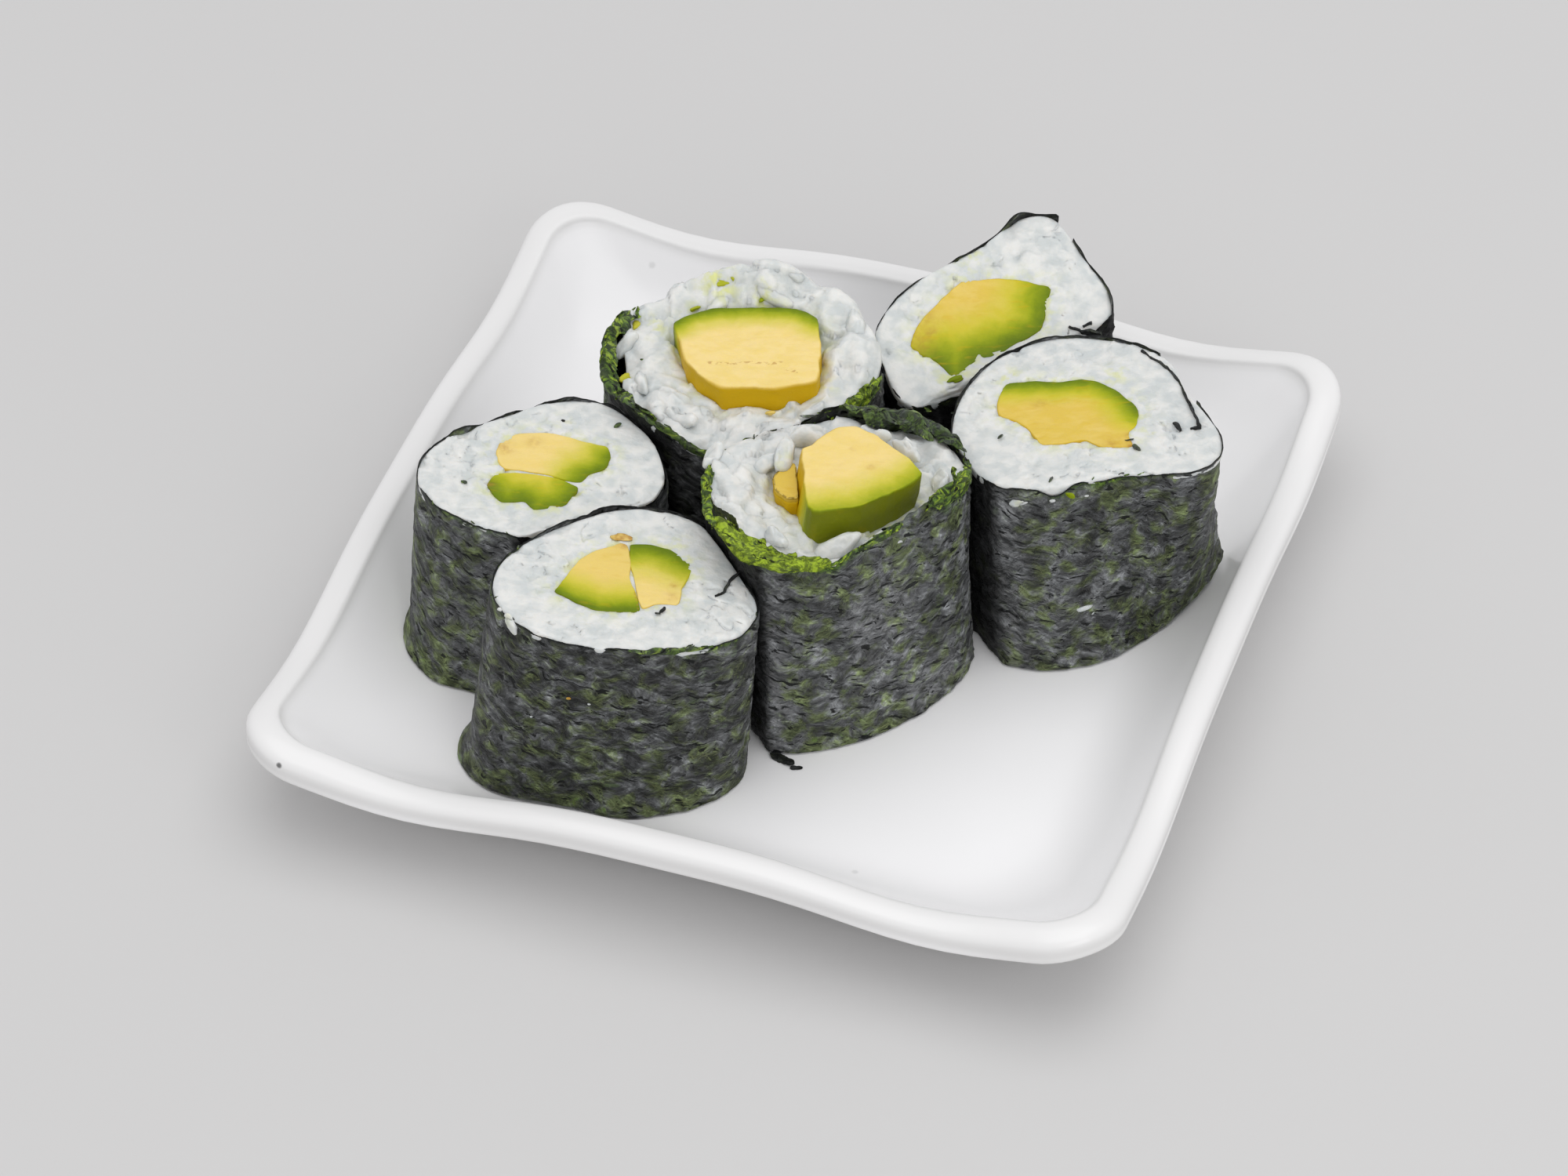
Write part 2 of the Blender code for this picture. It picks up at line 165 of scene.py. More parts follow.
# Sums ---------------------------------------------------------------------------------------


def unit(vectors):
    return vectors / np.maximum(np.linalg.norm(vectors, axis=-1, keepdims=True), 1e-12)


def heading(degrees):
    """A level direction."""
    turn = math.radians(degrees)
    return np.array([math.cos(turn), math.sin(turn), 0.0])


def turned(first, second):
    """The turn from one angle to another, between minus and plus half a turn."""
    return (first - second + np.pi) % (2.0 * np.pi) - np.pi


def bell(values, middle, width):
    return np.exp(-(((values - middle) / width) ** 2))


def eased(values, low, high):
    """0 below low, 1 above high and a smooth rise between."""
    share = np.clip((values - low) / (high - low), 0.0, 1.0)
    return share * share * (3.0 - 2.0 * share)


def to_the_back(angle):
    """1 toward the back of the dish and 0 toward the front."""
    return 0.5 + 0.5 * np.cos(angle - BACK)


def run_along(steps):
    """How far along each point lies, from the lengths of the steps between them."""
    return np.concatenate([[0.0], np.cumsum(steps)])


def run_round(reach, angle):
    """How far along an outline each of its points lies."""
    return run_along(np.hypot(np.diff(reach * np.cos(angle)), np.diff(reach * np.sin(angle))))


def rows_of(table, name):
    """The rows of a table that are about one roll or slice, less its name."""
    return [row[1:] for row in table if row[0] == name]


def chance_value(cells, seed):
    """A chance number from -1 to 1 for every whole-numbered cell."""
    code = cells[..., 0] * 73856093 ^ cells[..., 1] * 19349663 ^ cells[..., 2] * 83492791 ^ (seed * 2654435761)
    code = ((code ^ (code >> 13)) * 1274126177) & 0x7FFFFFFF
    code = ((code ^ (code >> 11)) * 668265263) & 0x7FFFFFFF
    return (code >> 7) % 8192 / 4095.5 - 1.0


def lumps(points, size, seed):
    """Smooth chance heights from -1 to 1, with hills about size apart."""
    cell = np.asarray(points, float) / size
    base = np.floor(cell).astype(np.int64)
    part = cell - base
    part = part * part * (3.0 - 2.0 * part)
    total = np.zeros(cell.shape[:-1])
    for corner in np.ndindex(2, 2, 2):
        total += chance_value(base + np.array(corner), seed) * np.where(corner, part, 1.0 - part).prod(axis=-1)
    return total


def chunks(points, size, seed):
    """Chance heights from about -1 to 1 in broken, tilted chunks about size wide."""
    flat = np.asarray(points, float)[..., :2] / size
    base = np.floor(flat).astype(np.int64)
    nearest = np.full(flat.shape[:-1], 9.0)
    height = np.zeros(flat.shape[:-1])
    for across in (-1, 0, 1):
        for along in (-1, 0, 1):
            cell = np.concatenate([base + (across, along), np.zeros_like(base[..., :1])], axis=-1)
            place = cell[..., :2] + 0.5 + 0.42 * np.stack([chance_value(cell, seed), chance_value(cell, seed + 1)],
                                                          axis=-1)
            off = flat - place
            away = np.linalg.norm(off, axis=-1)
            tilt = np.stack([chance_value(cell, seed + 2), chance_value(cell, seed + 3)], axis=-1)
            here = 0.6 * chance_value(cell, seed + 4) + (tilt * off).sum(axis=-1)
            height = np.where(away < nearest, here, height)
            nearest = np.minimum(away, nearest)
    return height


def rough(points, size, seed, octaves=3):
    """Lumps with finer lumps on them."""
    return sum(lumps(points, size / 2.0 ** turn, seed + turn) / 2.0 ** turn for turn in range(octaves)) / 1.6


def flat_points(first, second, third=0.0):
    return np.stack(np.broadcast_arrays(first, second, third), axis=-1)


def line_distance(points, line, closed=True):
    """Distance from each flat point to a line through corners."""
    start = np.asarray(line, float)
    end = np.roll(start, -1, axis=0)
    if not closed:
        start, end = start[:-1], end[:-1]
    run = end - start
    off = points[:, None, :] - start
    share = np.clip((off * run).sum(-1) / np.maximum((run * run).sum(-1), 1e-12), 0.0, 1.0)
    nearest = start + run * share[..., None]
    gap = points[:, None, :] - nearest
    reach = np.linalg.norm(gap, axis=-1)
    pick = reach.argmin(axis=1)
    rows = np.arange(len(points))
    return reach[rows, pick], nearest[rows, pick]


def inside(points, outline):
    start = np.asarray(outline, float)
    end = np.roll(start, -1, axis=0)
    x, y = points[:, None, 0], points[:, None, 1]
    spans = (start[:, 1] > y) != (end[:, 1] > y)
    rise = np.where(end[:, 1] == start[:, 1], 1e-9, end[:, 1] - start[:, 1])
    cross = start[:, 0] + (y - start[:, 1]) * (end[:, 0] - start[:, 0]) / rise
    return (spans & (x < cross)).sum(axis=1) % 2 == 1


def softened(corners, rounds=2, share=0.22):
    """Cuts the corners of an outline a few times over."""
    points = np.asarray(corners, float)
    for _ in range(rounds):
        after = np.roll(points, -1, axis=0)
        points = np.stack([points * (1 - share) + after * share, points * share + after * (1 - share)], axis=1)
        points = points.reshape(-1, 2)
    return points


def evened(points, count):
    """The same closed outline in equal steps."""
    closed = np.vstack([points, points[:1]])
    run = run_along(np.linalg.norm(np.diff(closed, axis=0), axis=1))
    at = np.linspace(0.0, run[-1], count, endpoint=False)
    return np.stack([np.interp(at, run, closed[:, axis]) for axis in range(2)], axis=1)


# Dish shape ---------------------------------------------------------------------------------


def rim_wave(x, y):
    """How far the rim rises at the corners and dips between them."""
    share = np.minimum(abs(x), abs(y)) / np.maximum(np.maximum(abs(x), abs(y)), 1e-9)
    return sum(size * np.cos((turn + 1) * np.pi * share) for turn, size in enumerate(RIM_WAVE))


def wall_ring(share):
    """Half side and corner radius of the dish's inside at this share of the wall, floor edge to bead."""
    half = DISH_HALF - BEAD_WIDTH - WALL_RUN * (1.0 - share)
    return half, FLOOR_CORNER + (BEAD_CORNER - FLOOR_CORNER) * share


def outside_square(x, y, half, corner):
    """Distance outside a square with round corners, negative inside."""
    across = abs(x) - half + corner
    along = abs(y) - half + corner
    outside = np.hypot(np.maximum(across, 0.0), np.maximum(along, 0.0))
    return outside + np.minimum(np.maximum(across, along), 0.0) - corner


def wall_height(share, x, y):
    return FLOOR_TOP + (RIM_TOP - FLOOR_TOP + rim_wave(x, y)) * share ** WALL_CURVE


def dish_height(x, y):
    """Height of the dish's upper face, found by halving the share of the wall."""
    low = np.zeros(np.shape(x))
    high = np.ones(np.shape(x))
    for _ in range(HALVINGS):
        middle = 0.5 * (low + high)
        beyond = outside_square(x, y, *wall_ring(middle)) > 0.0
        low = np.where(beyond, middle, low)
        high = np.where(beyond, high, middle)
    flat = outside_square(x, y, *wall_ring(0.0)) <= 0.0
    return np.where(flat, FLOOR_TOP, wall_height(high, x, y))


def square_ring(half, corner, height):
    """Points round a square with round corners; height is a function of the point."""
    straight = half - corner
    side = np.arange(SIDE_STEPS) / SIDE_STEPS * 2.0 - 1.0
    arc = np.arange(CORNER_STEPS) * np.pi / 2.0 / CORNER_STEPS
    x = np.concatenate([np.full(SIDE_STEPS, half), straight + corner * np.cos(arc)])
    y = np.concatenate([straight * side, straight + corner * np.sin(arc)])
    quarters = [(x, y), (-y, x), (-x, -y), (y, -x)]
    x, y = (np.concatenate(axis) for axis in zip(*quarters))
    return np.stack([x, y, np.broadcast_to(height(x, y), x.shape)], axis=1)


def dish_rings():
    """Rings from the middle of the floor, over the bead and back under to the foot."""
    floor_half, floor_corner = wall_ring(0.0)
    rings = [square_ring(floor_half * share, floor_corner * share, lambda x, y: FLOOR_TOP)
             for share in FLOOR_SHARES]
    for index in range(WALL_STEPS + 1):
        share = index / WALL_STEPS
        rings.append(square_ring(*wall_ring(share), lambda x, y, s=share: wall_height(s, x, y)))
    inner = DISH_HALF - BEAD_WIDTH
    for across, rise in BEAD_RINGS:
        rings.append(square_ring(inner + BEAD_WIDTH * across, BEAD_CORNER + (DISH_CORNER - BEAD_CORNER) * across,
                                 lambda x, y, r=rise: RIM_TOP + rim_wave(x, y) + r))
    low = RIM_TOP - OUTER_FACE
    for across, drop in FACE_RINGS:
        rings.append(square_ring(DISH_HALF - across, DISH_CORNER - 0.5 * across,
                                 lambda x, y, d=drop: low + rim_wave(x, y) + d))
    for share in UNDER_SHARES:
        half, corner = wall_ring(share)
        rings.append(square_ring(half + 1.4, corner + 1.0,
                                 lambda x, y, s=share: wall_height(s, x, y) - SHELL * (1.08 - 0.05 * s)))
    for half, corner, height in FOOT_RINGS:
        rings.append(square_ring(half, corner, lambda x, y, h=height: h))
    return np.array(rings)


def smoothed_rings(rings, steps):
    """Rings between the rings, on one smooth curve through each line of points."""
    before = np.concatenate([rings[:1], rings[:-1]])[:-1]
    here, after = rings[:-1], rings[1:]
    beyond = np.concatenate([rings[1:], rings[-1:]])[1:]
    made = []
    for step in range(steps):
        t = step / steps
        # Shorter steps carry shorter tangents, so that no ring overshoots its neighbour.
        first = np.linalg.norm(here - before, axis=-1, keepdims=True)
        middle = np.maximum(np.linalg.norm(after - here, axis=-1, keepdims=True), 1e-9)
        last = np.linalg.norm(beyond - after, axis=-1, keepdims=True)
        leave = unit(unit(here - before) * (first > 0) + unit(after - here)) * middle
        arrive = unit(unit(after - here) + unit(beyond - after) * (last > 0)) * middle
        h00, h10 = 2 * t ** 3 - 3 * t ** 2 + 1, t ** 3 - 2 * t ** 2 + t
        h01, h11 = -2 * t ** 3 + 3 * t ** 2, t ** 3 - t ** 2
        made.append(here * h00 + leave * h10 + after * h01 + arrive * h11)
    made = np.stack(made, axis=1).reshape(-1, *rings.shape[1:])
    return np.concatenate([made, rings[-1:]])


# Roll shape ---------------------------------------------------------------------------------


class Roll:
    """One piece: where it stands, how it leans, and the outline that its wrap follows."""

    def __init__(self, name, head, foot, height, half, turn, egg=(0.0, 0.0), nose=(0.0, 0.0, 25.0),
                 foot_nose=1.0, foot_egg=None, flare=1.0, tilt=(0.0, 0.0), seam=0.0, wrap=370.0, pale=1.0):
        self.name = name
        # pale: how light this roll's seaweed is painted, partly its own tone and partly painted light for how brightly
        # the roll is lit.
        self.pale = pale
        self.head = np.array([head[0], head[1], FLOOR_TOP + height])
        self.foot = np.array([foot[0], foot[1], FLOOR_TOP])
        self.half = half
        self.turn = math.radians(turn)
        foot_egg = foot_egg or egg
        self.egg = (egg[0], math.radians(egg[1]))
        self.foot_egg = (foot_egg[0], math.radians(foot_egg[1]))
        self.nose = (nose[0], math.radians(nose[1]), math.radians(nose[2]))
        self.foot_nose = foot_nose
        self.flare = flare
        self.seam = math.radians(seam)
        self.wrap = math.radians(wrap)
        lean = np.array([head[0] - foot[0] + tilt[0] * height, head[1] - foot[1] + tilt[1] * height, height])
        self.axis = unit(lean)
        self.along_x = unit(np.array([1.0, 0.0, 0.0]) - self.axis * self.axis[0])
        self.along_y = np.cross(self.axis, self.along_x)

    def reach(self, angle, egg, nose_share):
        """Distance from the middle to the outline, in the direction of the angle."""
        long_half, short_half = self.half
        spun = angle - self.turn
        reach = long_half * short_half / np.hypot(short_half * np.cos(spun), long_half * np.sin(spun))
        reach = reach * (1.0 + egg[0] * np.cos(3.0 * (angle - egg[1])))
        return reach + nose_share * self.nose[0] * bell(turned(angle, self.nose[1]), 0.0, self.nose[2])

    def top_reach(self, angle):
        return self.reach(angle, self.egg, 1.0)

    def on_cut(self, across, along, rise):
        """A point given in the plane of the cut, lifted along the axis."""
        across, along, rise = (np.asarray(value, float)[..., None] for value in (across, along, rise))
        return self.head + self.along_x * across + self.along_y * along + self.axis * rise

    def spot(self, angle, share, inset, level, rise=0.0):
        """Points of the body: share 1 is the outline less the inset, level 0 the dish and 1 the cut."""
        given = (np.asarray(value, float) for value in (angle, share, inset, level, rise))
        angle, share, inset, level, rise = np.broadcast_arrays(*given)
        top_reach = np.maximum(self.top_reach(angle) - inset, 0.0) * share
        top = self.on_cut(top_reach * np.cos(angle), top_reach * np.sin(angle), 0.0)
        foot_reach = np.maximum(self.reach(angle, self.foot_egg, self.foot_nose) * self.flare - inset, 0.0) * share
        foot = self.foot + flat_points(foot_reach * np.cos(angle), foot_reach * np.sin(angle))
        foot = pressed(foot, self, inset)
        outward = foot + unit(foot - self.foot) * (SHEET * share)[..., None]
        foot[..., 2] = dish_height(outward[..., 0], outward[..., 1]) + STAND_OFF
        part = level + rise / (top[..., 2] - foot[..., 2])
        return pressed(foot + (top - foot) * part[..., None], self, inset)

    def from_cut(self, local, inset):
        """Points given across, along and above the cut, bent to follow the lean of the sides."""
        angle = np.arctan2(local[..., 1], local[..., 0])
        share = np.hypot(local[..., 0], local[..., 1]) / np.maximum(self.top_reach(angle) - inset, 1.0)
        return self.spot(angle, np.minimum(share, 1.0), inset, 1.0, local[..., 2])


ROLLS = {
    "1": Roll("1", (-14.6, 14.6), (-14.0, 14.5), 30.0, (20.2, 17.5), 25.0, egg=(0.03, 49.0), seam=150.0),
    "2": Roll("2", (-33.3, -15.6), (-35.2, -17.4), 30.5, (17.0, 14.5), 48.0, egg=(0.09, -39.0),
              nose=(2.1, 17.0, 24.0), flare=1.02, seam=15.0, pale=1.6),
    "3": Roll("3", (-15.1, -34.0), (-18.2, -35.4), 31.5, (17.3, 13.9), 41.0, egg=(0.05, -29.0),
              foot_egg=(0.076, -32.0), nose=(4.0, -1.0, 30.0), flare=1.07, seam=112.0, pale=1.1),
    "4": Roll("4", (6.6, -9.4), (6.9, -9.8), 34.0, (19.7, 16.1), 57.0, egg=(0.06, 30.0),
              foot_egg=(0.06, 14.0), flare=1.037, seam=100.0, pale=1.65),
    "5": Roll("5", (32.7, 17.8), (35.9, 17.2), 32.0, (18.0, 15.7), 59.0, egg=(0.04, 17.0),
              foot_egg=(0.1, 14.0), nose=(8.8, -15.0, 23.0), foot_nose=0.0, flare=1.07, seam=22.0, wrap=324.0,
              pale=1.35),
    "6": Roll("6", (16.6, 33.9), (14.0, 40.5), 29.0, (18.2, 13.2), 42.0, nose=(6.0, 87.0, 20.0),
              foot_nose=0.3, tilt=(0.02, -0.08), seam=70.0, wrap=350.0),
}

# Neighbours squash each other flat: first roll, second roll, direction from one to the
# other in degrees, and how far the flat lies from the origin in that direction.
CONTACTS = (
    ("1", "2", 240.0, 13.0),
    ("1", "4", -45.0, -3.9),
    ("1", "6", 38.0, 17.1),
    ("2", "3", -45.0, -0.9),
    ("3", "4", 45.0, -18.8),
    ("4", "5", 45.0, 18.5),
    ("5", "6", 135.0, 6.2),
)


def flats(roll):
    """The flats on a roll: the direction that each faces and its distance from the origin."""
    for first, second, degrees, distance in CONTACTS:
        if roll.name in (first, second):
            side = 1.0 if roll.name == first else -1.0
            yield heading(degrees) * side, side * distance - GAP / 2.0


def pressed(points, roll, inset):
    """Moves points back where a neighbour squashes the roll flat."""
    moved = points.copy()
    for toward, distance in flats(roll):
        room = distance - inset - moved @ toward
        push = room - PRESS_SOFTNESS * np.log1p(np.exp(np.minimum(room / PRESS_SOFTNESS, 40.0)))
        moved += np.where(room < 6.0 * PRESS_SOFTNESS, push, 0.0)[..., None] * toward
    return moved


class Fruit:
    """One slice: its roll, height above the cut, corners in the plane of the cut, the first and last corner of
    its skin, how ripe its flesh is from 0 to 1, how wide its green band is, 1 for common, how much of the band
    was peeled off in millimetres, how its sides lean per millimetre down, and how round its cut edge is."""

    def __init__(self, roll, rise, corners, skin, ripe=0.0, band=1.0, peel=0.0, lean=(0.0, 0.0), rim=0.3):
        self.roll = ROLLS[roll]
        self.rise = rise
        self.corners = np.array(corners)
        self.skin = [self.corners[index % len(corners)] for index in range(skin[0], skin[1] + 1)]
        self.ripe = ripe
        self.band = band
        self.peel = peel
        self.lean = np.array(lean)
        self.rim = rim


FRUIT = {
    "1": Fruit("1", 3.6, ((-11.2, 2.0), (-9.5, 4.5), (-6.3, 6.9), (-0.3, 8.9), (5.4, 10.1), (8.7, 8.8),
        (12.4, -1.4), (12.5, -4.3), (8.2, -6.9), (0.4, -9.3), (-3.1, -8.1), (-6.6, -5.8), (-8.8, -1.6)),
        (0, 5), 0.0, 0.9),
    "2a": Fruit("2", 0.02, ((-7.8, 1.0), (-7.9, 4.0), (-6.1, 6.2), (-2.8, 8.0), (1.5, 8.1), (4.5, 8.1),
        (6.3, 8.5), (7.8, 6.4), (7.8, 4.0), (6.1, 1.5), (5.8, -0.4), (3.9, -0.7), (0.7, -0.6), (-3.2, -1.4),
        (-5.5, -2.0), (-6.8, -0.9)), (7, 10), 0.15, 1.3),
    "2b": Fruit("2", 0.02, ((-6.7, -6.4), (-6.2, -3.2), (-3.3, -1.7), (0.9, -1.0), (3.9, -1.1), (6.0, -1.4),
        (5.2, -5.9), (1.7, -8.5), (-0.3, -7.2), (-3.0, -8.8), (-5.1, -7.7)), (5, 11), 0.7, 1.5),
    "3a": Fruit("3", 0.02, ((-7.8, -6.4), (-7.4, -4.7), (-6.9, 0.7), (-5.0, 4.0), (-2.7, 7.2), (-1.6, 7.0),
        (1.1, 0.7), (3.3, -2.8), (4.6, -4.9), (-0.9, -7.3), (-4.4, -7.1)), (8, 11), 0.45, 1.15),
    "3b": Fruit("3", 0.02, ((-1.2, 7.1), (0.9, 8.3), (3.8, 8.6), (7.2, 7.6), (8.6, 6.0), (8.1, 2.6),
        (9.0, -1.5), (6.2, -2.8), (4.7, -4.3), (3.7, -2.9), (1.4, 0.9), (-1.3, 7.0)), (0, 3), 0.15, 1.4),
    "4a": Fruit("4", 4.2, ((-4.7, 1.3), (-3.0, 2.5), (-2.4, 5.0), (-1.4, 6.8), (1.1, 8.3), (4.0, 7.7),
        (8.2, 5.6), (12.1, 2.8), (13.4, 1.6), (12.8, -0.4), (10.4, -3.4), (7.2, -7.5), (0.8, -11.0)),
        (8, 12), 0.1, 1.5, 2.0, (-0.17, 0.0)),
    "4b": Fruit("4", 0.5, ((-7.3, 1.4), (-7.9, -1.4), (-6.6, -4.2), (-4.4, -5.6), (-2.6, -5.0),
        (-3.9, -1.6), (-5.6, 2.2)), (0, 0), 1.0, rim=1.4),
    "5": Fruit("5", 0.02, ((-9.9, -1.9), (-10.5, 3.9), (-6.3, 5.1), (-3.0, 5.9), (2.1, 7.3), (5.4, 6.0),
        (8.5, 3.6), (10.1, 1.7), (10.7, -0.8), (9.9, -3.3), (11.8, -6.1), (7.3, -7.1), (4.3, -5.8),
        (1.8, -7.3), (-1.3, -8.3), (-3.8, -5.6), (-6.5, -3.9), (-8.8, -3.4)), (1, 7), 0.8, 1.05),
    "6": Fruit("6", 0.02, ((-10.6, -6.0), (-10.4, -1.7), (-8.4, 3.1), (-6.5, 6.8), (-3.0, 8.4), (1.1, 9.3),
        (4.1, 9.3), (5.9, 9.6), (6.7, 5.0), (6.9, 2.0), (3.6, -1.4), (1.3, -4.0), (-1.0, -5.8),
        (-2.3, -9.6), (-5.9, -7.6), (-8.8, -7.0)), (7, 14), 0.75, 1.7),
}

# Brown spots on the slices: slice, across, along, radius in millimetres and strength.
SPOTS = (
    ("6", -9.8, -5.4, 2.6, 0.4), ("6", -8.4, -3.0, 1.0, 0.5), ("6", -9.6, -1.0, 1.6, 0.3),
    ("5", 11.2, -5.6, 0.9, 0.9), ("5", 10.4, -3.6, 0.7, 0.7), ("5", -4.2, 0.4, 1.0, 0.35),
    ("5", 8.4, -6.2, 1.6, 0.4), ("2a", -6.8, 2.4, 1.2, 0.5), ("2a", -3.6, 5.0, 1.2, 0.3),
    ("2b", -6.2, -6.0, 1.0, 0.4), ("3b", 7.6, -0.6, 0.8, 0.5), ("3a", -2.2, 6.6, 1.0, 0.6),
    ("3b", 7.0, 1.8, 0.5, 0.6), ("4a", 6.0, 0.6, 0.5, 0.4), ("4a", 2.4, 3.4, 0.4, 0.4),
)
# Dotted brown lines, from the stone side of a slice: slice and points.
SCARS = (
    ("1", ((-3.4, -4.9), (-0.4, -4.2), (2.6, -2.9), (5.4, -2.4), (7.0, -1.6))),
    ("1", ((7.6, -3.0), (10.2, -3.0))), ("3a", ((1.2, 1.6), (3.0, -2.2), (4.4, -4.6))),
)


def fruit_of(roll):
    return [fruit for fruit in FRUIT.values() if fruit.roll is roll]


def round_profile(angle, stops):
    """A smooth line through (degrees, value) stops that meets itself after a full turn."""
    places = np.radians([stop[0] for stop in stops])
    values = np.array([stop[1] for stop in stops])
    order = np.argsort(places)
    places, values = places[order], values[order]
    at = (np.asarray(angle) - places[0]) % (2.0 * np.pi)
    run = np.append(places - places[0], 2.0 * np.pi)
    index = np.clip(np.searchsorted(run, at, side="right") - 1, 0, len(values) - 1)
    share = (at - run[index]) / (run[index + 1] - run[index])
    share = share * share * (3.0 - 2.0 * share)
    return values[index] * (1.0 - share) + values[(index + 1) % len(values)] * share


# Tops of the rice: height above the cut for an angle and a share of the way out.


def flat_top(angle, share):
    return -0.12 + 0.1 * np.sin(4.0 * angle + 6.0 * share) * share


HEAP_LINE = (
    (-150, 0.2), (-125, 0.9), (-92, -0.6), (-60, 0.5), (-25, 0.9), (3, 1.0), (22, 2.8), (41, 1.5),
    (61, 4.0), (72, 3.2), (84, 6.6), (94, 7.2), (106, 5.6), (120, 4.6), (134, 3.6), (150, 2.2), (175, 0.4),
)
SUNK_LINE = (
    (-170, 0.6), (-140, 1.2), (-112, 0.4), (-85, -0.2), (-60, -0.5), (-30, -1.2), (0, -1.4), (35, -1.6),
    (75, -2.2), (115, -1.6), (150, -0.4),
)


def back_heap(angle, share):
    """Loose rice heaped up at the back of the left end piece, highest just inside the wrap."""
    ridge = eased(share, 0.35, 0.86) * (1.0 - 0.35 * eased(share, 0.9, 1.0))
    return -0.4 + (round_profile(angle, HEAP_LINE) + 0.4) * ridge


def sunk_heap(angle, share):
    """Loose rice sunk inside the wrap of the middle end piece, higher on the left."""
    dip = 2.4 * bell(turned(angle, math.radians(-84.0)), 0.0, 0.22) * bell(share, 0.68, 0.13)
    return -2.0 + (round_profile(angle, SUNK_LINE) + 2.0) * eased(share, 0.3, 0.85) - dip


HEAPS = {"1": back_heap, "4": sunk_heap}

# Where the wrap stands off the rice: roll, direction in degrees, half width in degrees and gap in millimetres.
HOLLOWS = (
    ("1", -163.0, 21.0, 3.2), ("4", 160.0, 16.0, 0.8), ("4", 78.0, 30.0, 1.0), ("5", 30.0, 14.0, 1.3),
)


def hollow(roll, angle):
    return sum(gap * bell(turned(angle, math.radians(middle)), 0.0, math.radians(width))
               for middle, width, gap in rows_of(HOLLOWS, roll.name)) + 0.0 * angle


# Edges of the seaweed: rise above the cut for an angle.
TORN_BACK = (
    (-172, 1.1), (-150, 0.7), (-128, 2.3), (-106, 1.5), (-90, -1.0), (-70, 0.0), (-48, 1.7), (-25, 1.1),
    (-8, 0.3), (8, -0.5), (30, -3.6), (65, -4.6), (120, -4.4), (147, -2.0), (156, -0.5), (171, 1.8),
    (180, 1.9),
)
TORN_FRONT = (
    (-170, 0.6), (-145, 1.6), (-120, 3.1), (-106, 1.9), (-86, 1.1), (-72, 1.0), (-57, 2.3), (-34, 2.5),
    (-14, 3.2), (2, 2.4), (16, 1.0), (32, -1.2), (48, -0.9), (75, -0.4), (105, -0.5), (131, -2.6),
    (160, -2.0),
)


def torn_back(angle):
    """The wrap of the left end piece is torn away low at the back."""
    return round_profile(angle, TORN_BACK)


def torn_front(angle):
    """The wrap of the middle end piece stands up round the rice, highest in front."""
    return round_profile(angle, TORN_FRONT)


def knife_cut(angle):
    """Height of a clean edge: just under the rice in front and just over it at the back."""
    return -0.28 + 0.36 * to_the_back(angle)


EDGES = {"1": torn_back, "4": torn_front}

# Where the edge of a wrap is torn thin: roll, direction and half width in degrees, depth in millimetres, strength.
FRINGES = (
    ("4", -122.0, 26.0, 4.2, 1.0), ("4", 172.0, 26.0, 4.5, 0.8), ("4", 8.0, 18.0, 3.4, 0.7),
    ("4", -62.0, 34.0, 1.4, 0.55), ("4", 75.0, 36.0, 3.2, 0.5), ("4", 130.0, 20.0, 2.5, 0.4),
    ("1", -172.0, 26.0, 9.0, 0.85), ("1", -128.0, 22.0, 2.6, 0.6), ("1", -90.0, 18.0, 1.4, 0.4),
    ("1", -52.0, 22.0, 2.0, 0.5), ("1", -8.0, 16.0, 3.0, 0.9), ("3", -160.0, 30.0, 1.2, 0.4),
    ("3", -30.0, 34.0, 0.9, 0.5), ("2", -110.0, 30.0, 0.9, 0.3), ("5", -60.0, 26.0, 1.0, 0.5),
    ("6", -100.0, 26.0, 1.2, 0.5),
)

# Torn edges that are folded in over the rice: roll, first and last direction in degrees, how far they reach in and
# down the outside in millimetres, how high they stand, and how bright they are.
FOLDS = (
    ("4", -130.0, -70.0, 4.2, 1.0, 0.6, 1.0), ("4", -186.0, -122.0, 1.5, 0.5, 0.4, 0.6),
    ("4", -12.0, 36.0, 1.8, 2.2, 0.6, 0.5), ("4", 40.0, 104.0, 3.4, 1.0, 0.9, 0.28),
    ("4", -74.0, -30.0, 0.5, 0.8, 0.1, 0.5), ("1", 138.0, 236.0, 2.6, 0.8, 0.5, 0.42),
    ("1", -22.0, 12.0, 1.2, 1.6, 0.8, 0.7), ("1", -124.0, -60.0, 0.5, 0.8, 0.2, 0.3),
    ("3", -66.0, -24.0, 0.5, 0.5, 0.1, 0.35),
)

# Ends of a wrap that are rolled in with the rice: roll and points in the frame of its cut.
ROLLED_IN = (
    ("5", ((6.6, 14.6), (10.0, 12.6), (12.6, 10.4), (14.3, 8.4), (15.4, 6.2), (17.4, 3.2), (18.5, 1.8),
    (19.4, 0.1), (18.2, -0.6))), ("5", ((15.5, 0.5), (16.6, -0.6), (17.1, -1.4))), ("6", ((10.2, 4.0),
    (12.0, 3.6), (13.4, 4.4), (15.0, 4.2))), ("6", ((12.2, 4.4), (13.2, 5.4))), ("3", ((14.4, 8.6),
    (13.8, 5.6), (13.9, 3.4), (13.0, 2.0))),
)

